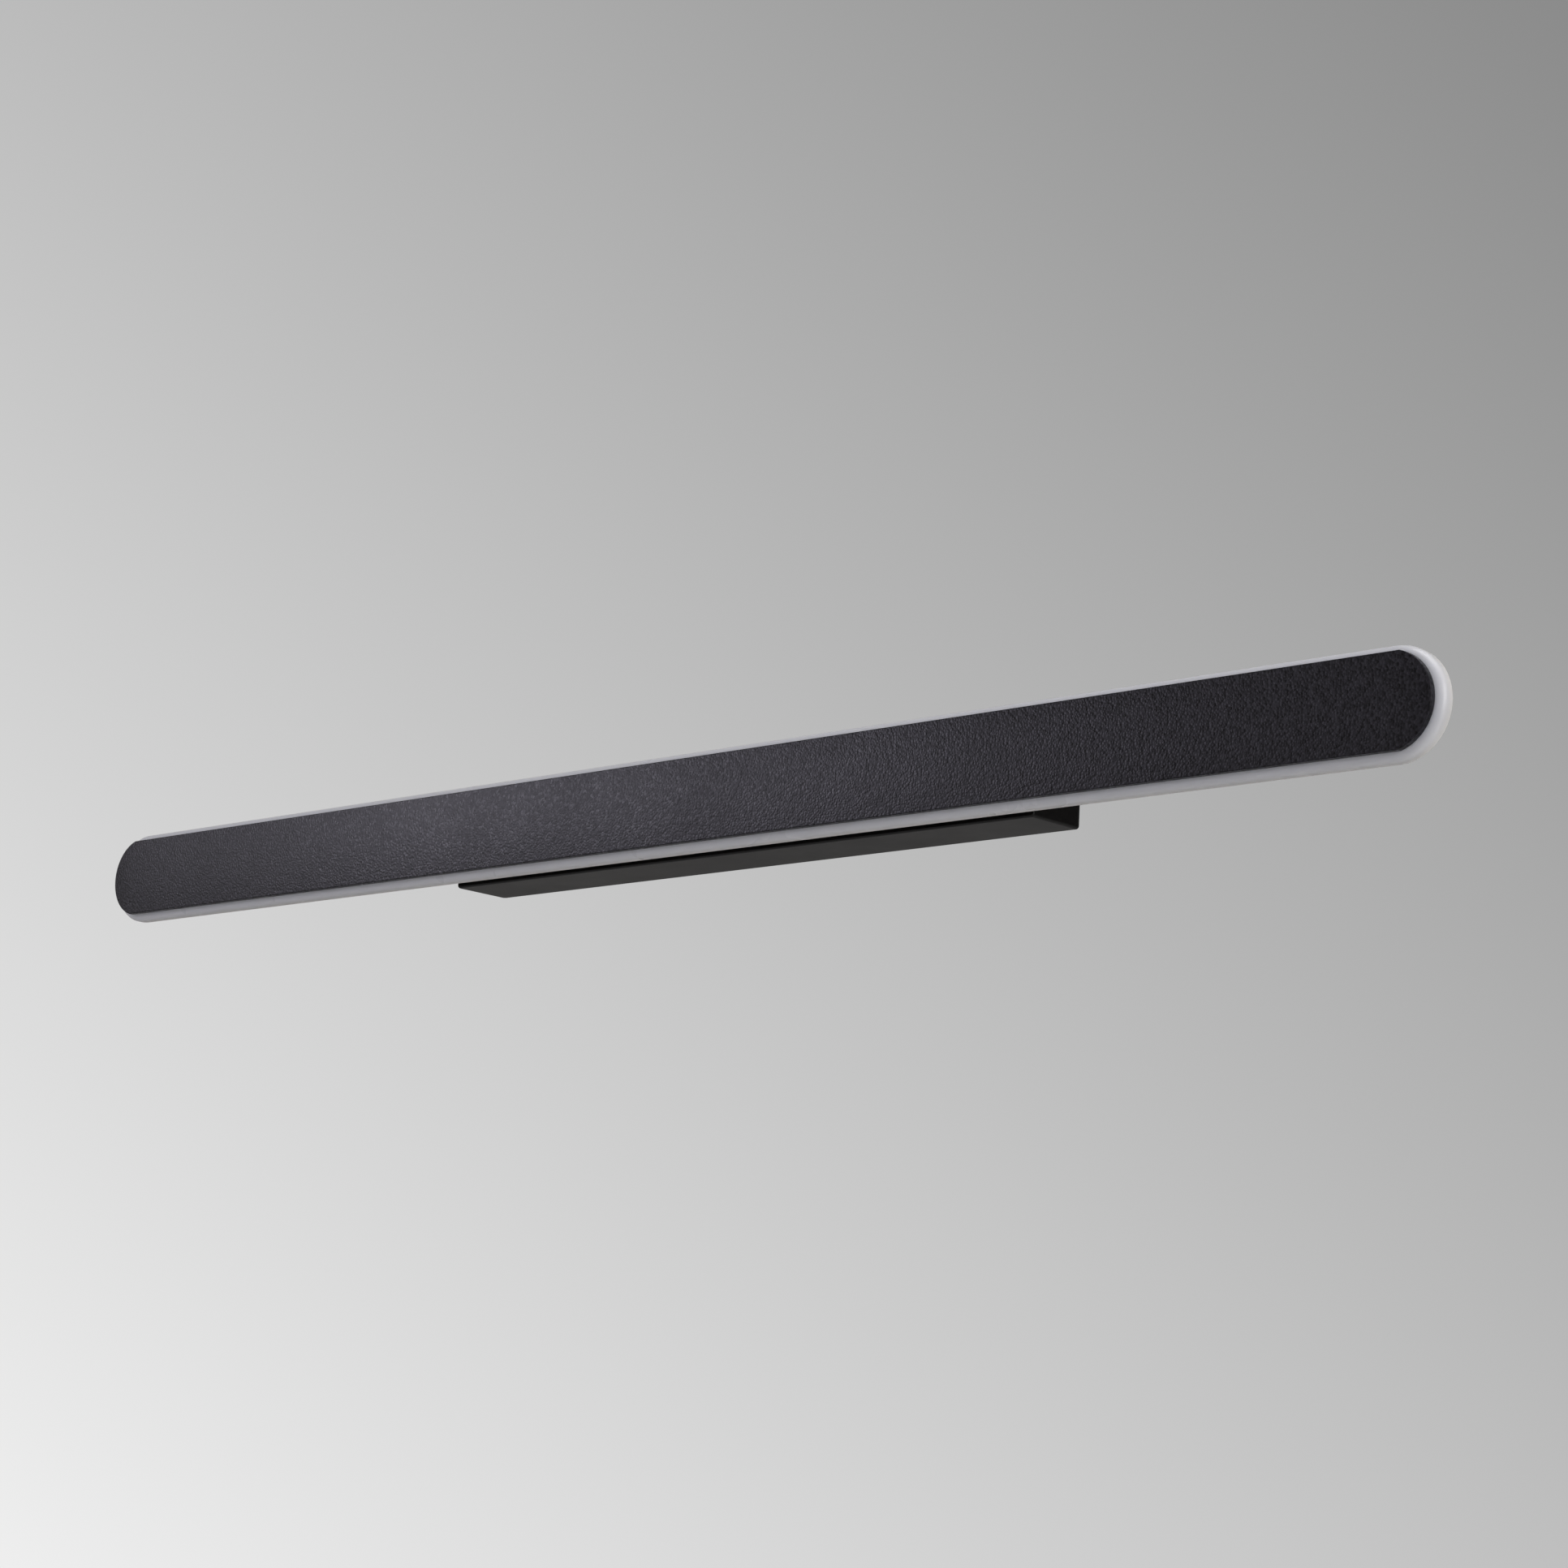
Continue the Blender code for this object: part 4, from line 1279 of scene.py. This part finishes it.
@dataclass
class Fasteners:
    """All screws, by the nodes that they stand for."""

    m4: SocketScrew = SocketScrew(2 * MM, 3.5 * MM, 2.2 * MM, 0.7 * MM)
    m3: SocketScrew = SocketScrew(1.5 * MM, 2.8 * MM, 1.8 * MM, 0.5 * MM)
    m3_washer: SocketScrew = SocketScrew(1.5 * MM, 2.8 * MM, 1.8 * MM, 0.5 * MM,
                                         washer_radius=3.4 * MM)
    small: SocketScrew = SocketScrew(1.1 * MM, 2.2 * MM, 1.4 * MM, 0.4 * MM, sides=36)

    def build(self) -> None:
        """Make every screw."""
        kinds = (("spacer_screw_", self.m4, Facing.WALL, Finishes.STEEL),
                 ("board_screw_", self.small, Facing.ROOM, Finishes.STEEL),
                 ("driver_screw_", self.m3, Facing.ROOM, Finishes.STEEL),
                 ("terminal_block_screw", self.m3, Facing.ROOM, Finishes.STEEL),
                 ("earth_screw", self.m3_washer, Facing.ROOM, Finishes.STEEL),
                 ("cover_screw_", self.m3, Facing.UP, Finishes.SATIN_PAINT))
        for start, screw, facing, finish in kinds:
            for node in nodes_named(start):
                screw.build(node, facing, finish)


@dataclass
class Wiring:
    """The insulated leads and links, by colour."""

    colours: tuple[tuple[str, Finishes], ...] = (
        ("live_lead", Finishes.BROWN),
        ("neutral_lead", Finishes.BLUE),
        ("earth_lead", Finishes.GREEN),
        ("output_lead_positive", Finishes.RED),
        ("output_lead_negative", Finishes.BLACK),
        ("board_link_left", Finishes.WHITE),
        ("board_link_upper", Finishes.WHITE),
        ("board_link_lower", Finishes.WHITE),
    )

    def build(self) -> None:
        """Refine every lead."""
        for node, finish in self.colours:
            refine(node, finish)


# ---------------------------------------------------------------- the studio


def direction(azimuth: float, elevation: float) -> Vector:
    """Unit vector from the light bar towards a place.

    Args:
        azimuth: turn in degrees, from -Y towards +X.
        elevation: rise in degrees above the level plane.

    Returns:
        The vector.
    """
    turn, rise = math.radians(azimuth), math.radians(elevation)
    return Vector((math.sin(turn) * math.cos(rise), -math.cos(turn) * math.cos(rise),
                   math.sin(rise)))


@dataclass(frozen=True)
class SoftBox:
    """A square area light that looks at the light bar from a direction."""

    name: str
    azimuth: float
    elevation: float
    distance: float
    size: float
    power: float
    tint: Colour = (1.0, 1.0, 1.0)

    def build(self, target: Vector) -> None:
        """Make the light.

        Args:
            target: point that it looks at.
        """
        data = bpy.data.lights.new(self.name, "AREA")
        data.shape = "SQUARE"
        data.size = self.size
        data.energy = self.power
        data.color = self.tint
        lamp = into_scene(self.name, data)
        away = direction(self.azimuth, self.elevation)
        lamp.location = target + away * self.distance
        lamp.rotation_euler = (-away).to_track_quat("-Z", "Y").to_euler()
        lamp.visible_camera = False


@dataclass
class Studio:
    """Camera, soft lights, a pale floor and a grey backdrop that shades across the view."""

    aim: tuple[float, float, float] = (0.0832, -0.0800, 0.00085)
    azimuth: float = 43.81
    elevation: float = -11.79
    roll: float = 3.06
    distance: float = 1.7182
    lens: float = 82.72
    clip_start: float = 0.05
    slope: tuple[float, float] = (0.68, 0.73)
    seen_span: tuple[float, float] = (-0.34, 0.34)
    seen_grey: tuple[float, float] = (0.963, 0.511)
    display_gamma: float = 2.2
    given_span: tuple[float, float] = (-0.5, 0.7)
    given_light: tuple[Colour, Colour] = ((0.34, 0.327, 0.32), (0.05, 0.05, 0.052))
    floor_height: float = -0.75
    floor_size: float = 7.0
    floor_cells: int = 40
    flat_share: float = 0.7
    sweep: float = 0.02
    soft_boxes: tuple[SoftBox, ...] = (
        SoftBox("left_soft_box", -50.0, 13.0, 2.4, 0.6, 7.1, (0.91, 0.90, 1.0)),
        SoftBox("right_soft_box", 84.0, 12.0, 2.2, 1.2, 18.0),
        SoftBox("overhead_soft_box", 60.0, 70.0, 2.2, 1.6, 24.0),
    )

    def build(self) -> None:
        """Make the whole studio."""
        self.camera()
        for box in self.soft_boxes:
            box.build(Vector(self.aim))
        self.backdrop()
        self.floor()

    def axes(self) -> tuple[Vector, Vector, Vector]:
        """Work out how the camera is turned, with its roll about the line of sight.

        Returns:
            The camera's right, up and backward directions.
        """
        back = direction(self.azimuth, self.elevation)
        level = direction(self.azimuth + 90.0, 0.0)
        upright = back.cross(level)
        roll = math.radians(self.roll)
        right = level * math.cos(roll) + upright * math.sin(roll)
        return right, back.cross(right), back

    def camera(self) -> None:
        """Make the camera, below the bar and to the right of it, looking up."""
        data = bpy.data.cameras.new("camera")
        data.lens = self.lens
        data.clip_start = self.clip_start
        camera = into_scene("camera", data)
        right, up, back = self.axes()
        camera.matrix_world = Matrix((right, up, back)).transposed().to_4x4()
        camera.location = Vector(self.aim) + back * self.distance
        bpy.context.scene.camera = camera

    def backdrop(self) -> None:
        """Light the scene evenly, and show the camera greys that darken up and to the right."""
        world = bpy.data.worlds.new("studio")
        bpy.context.scene.world = world
        world.use_nodes = True
        tree = world.node_tree
        tree.nodes.clear()
        graph = Graph(tree)
        right, up, _ = self.axes()
        slope = (right * self.slope[0] + up * self.slope[1]).normalized()
        along = graph.add("VectorMath", {"operation": "DOT_PRODUCT"})
        graph.feed(along.inputs[0], graph.add("TexCoord").outputs["Generated"])
        graph.feed(along.inputs[1], tuple(slope))
        level = graph.remap(along.outputs["Value"], self.seen_span, self.seen_grey)
        grey = graph.add("Gamma", Color=level, Gamma=self.display_gamma)
        seen = graph.add("Background", Color=grey.outputs[0])
        shade = graph.remap(along.outputs["Value"], self.given_span)
        given = graph.add("Background", Color=graph.mix(shade, *self.given_light))
        choice = graph.add("MixShader")
        graph.feed(choice.inputs[0], graph.add("LightPath").outputs["Is Camera Ray"])
        graph.feed(choice.inputs[1], given.outputs[0])
        graph.feed(choice.inputs[2], seen.outputs[0])
        graph.feed(graph.add("OutputWorld").inputs["Surface"], choice.outputs[0])

    def floor(self) -> None:
        """Make the pale floor, flat under the light and falling with the square beyond that."""
        half = self.floor_size / 2
        line = np.linspace(-half, half, self.floor_cells + 1)
        x, y = np.meshgrid(line, line, indexing="ij")
        far = np.clip(np.hypot(x, y) - half * self.flat_share, 0.0, None)
        height = self.floor_height - self.sweep * far ** 2
        vertices = np.stack([x, y, height], axis=-1).reshape(-1, 3)
        index = np.arange(line.size ** 2).reshape(line.size, line.size)
        quads = np.stack([index[:-1, :-1], index[1:, :-1], index[1:, 1:], index[:-1, 1:]],
                         axis=-1).reshape(-1, 4)
        mesh = bpy.data.meshes.new("floor")
        mesh.from_pydata(vertices.tolist(), [], quads.tolist())
        mesh.shade_smooth()
        floor = into_scene("floor", mesh)
        paper = Finish("pale_floor", (0.74, 0.74, 0.73), (0.78, 0.78, 0.77), (0.7, 0.8),
                       grain=60.0, haze=1.5)
        mesh.materials.append(paper.material())


def main() -> None:
    """Build the studio and then every sub-assembly."""
    logging.basicConfig(level=logging.INFO, format="%(name)s: %(message)s")
    bpy.context.scene.view_settings.view_transform = "Standard"
    for part in (Studio(), FrontPlate(), Diffuser(), RearTray(), LightEngine(), Stems(),
                 Canopy(), WallMount(), Fasteners(), Wiring()):
        LOG.info("building %s", type(part).__name__)
        part.build()


if __name__ == "__main__":
    main()
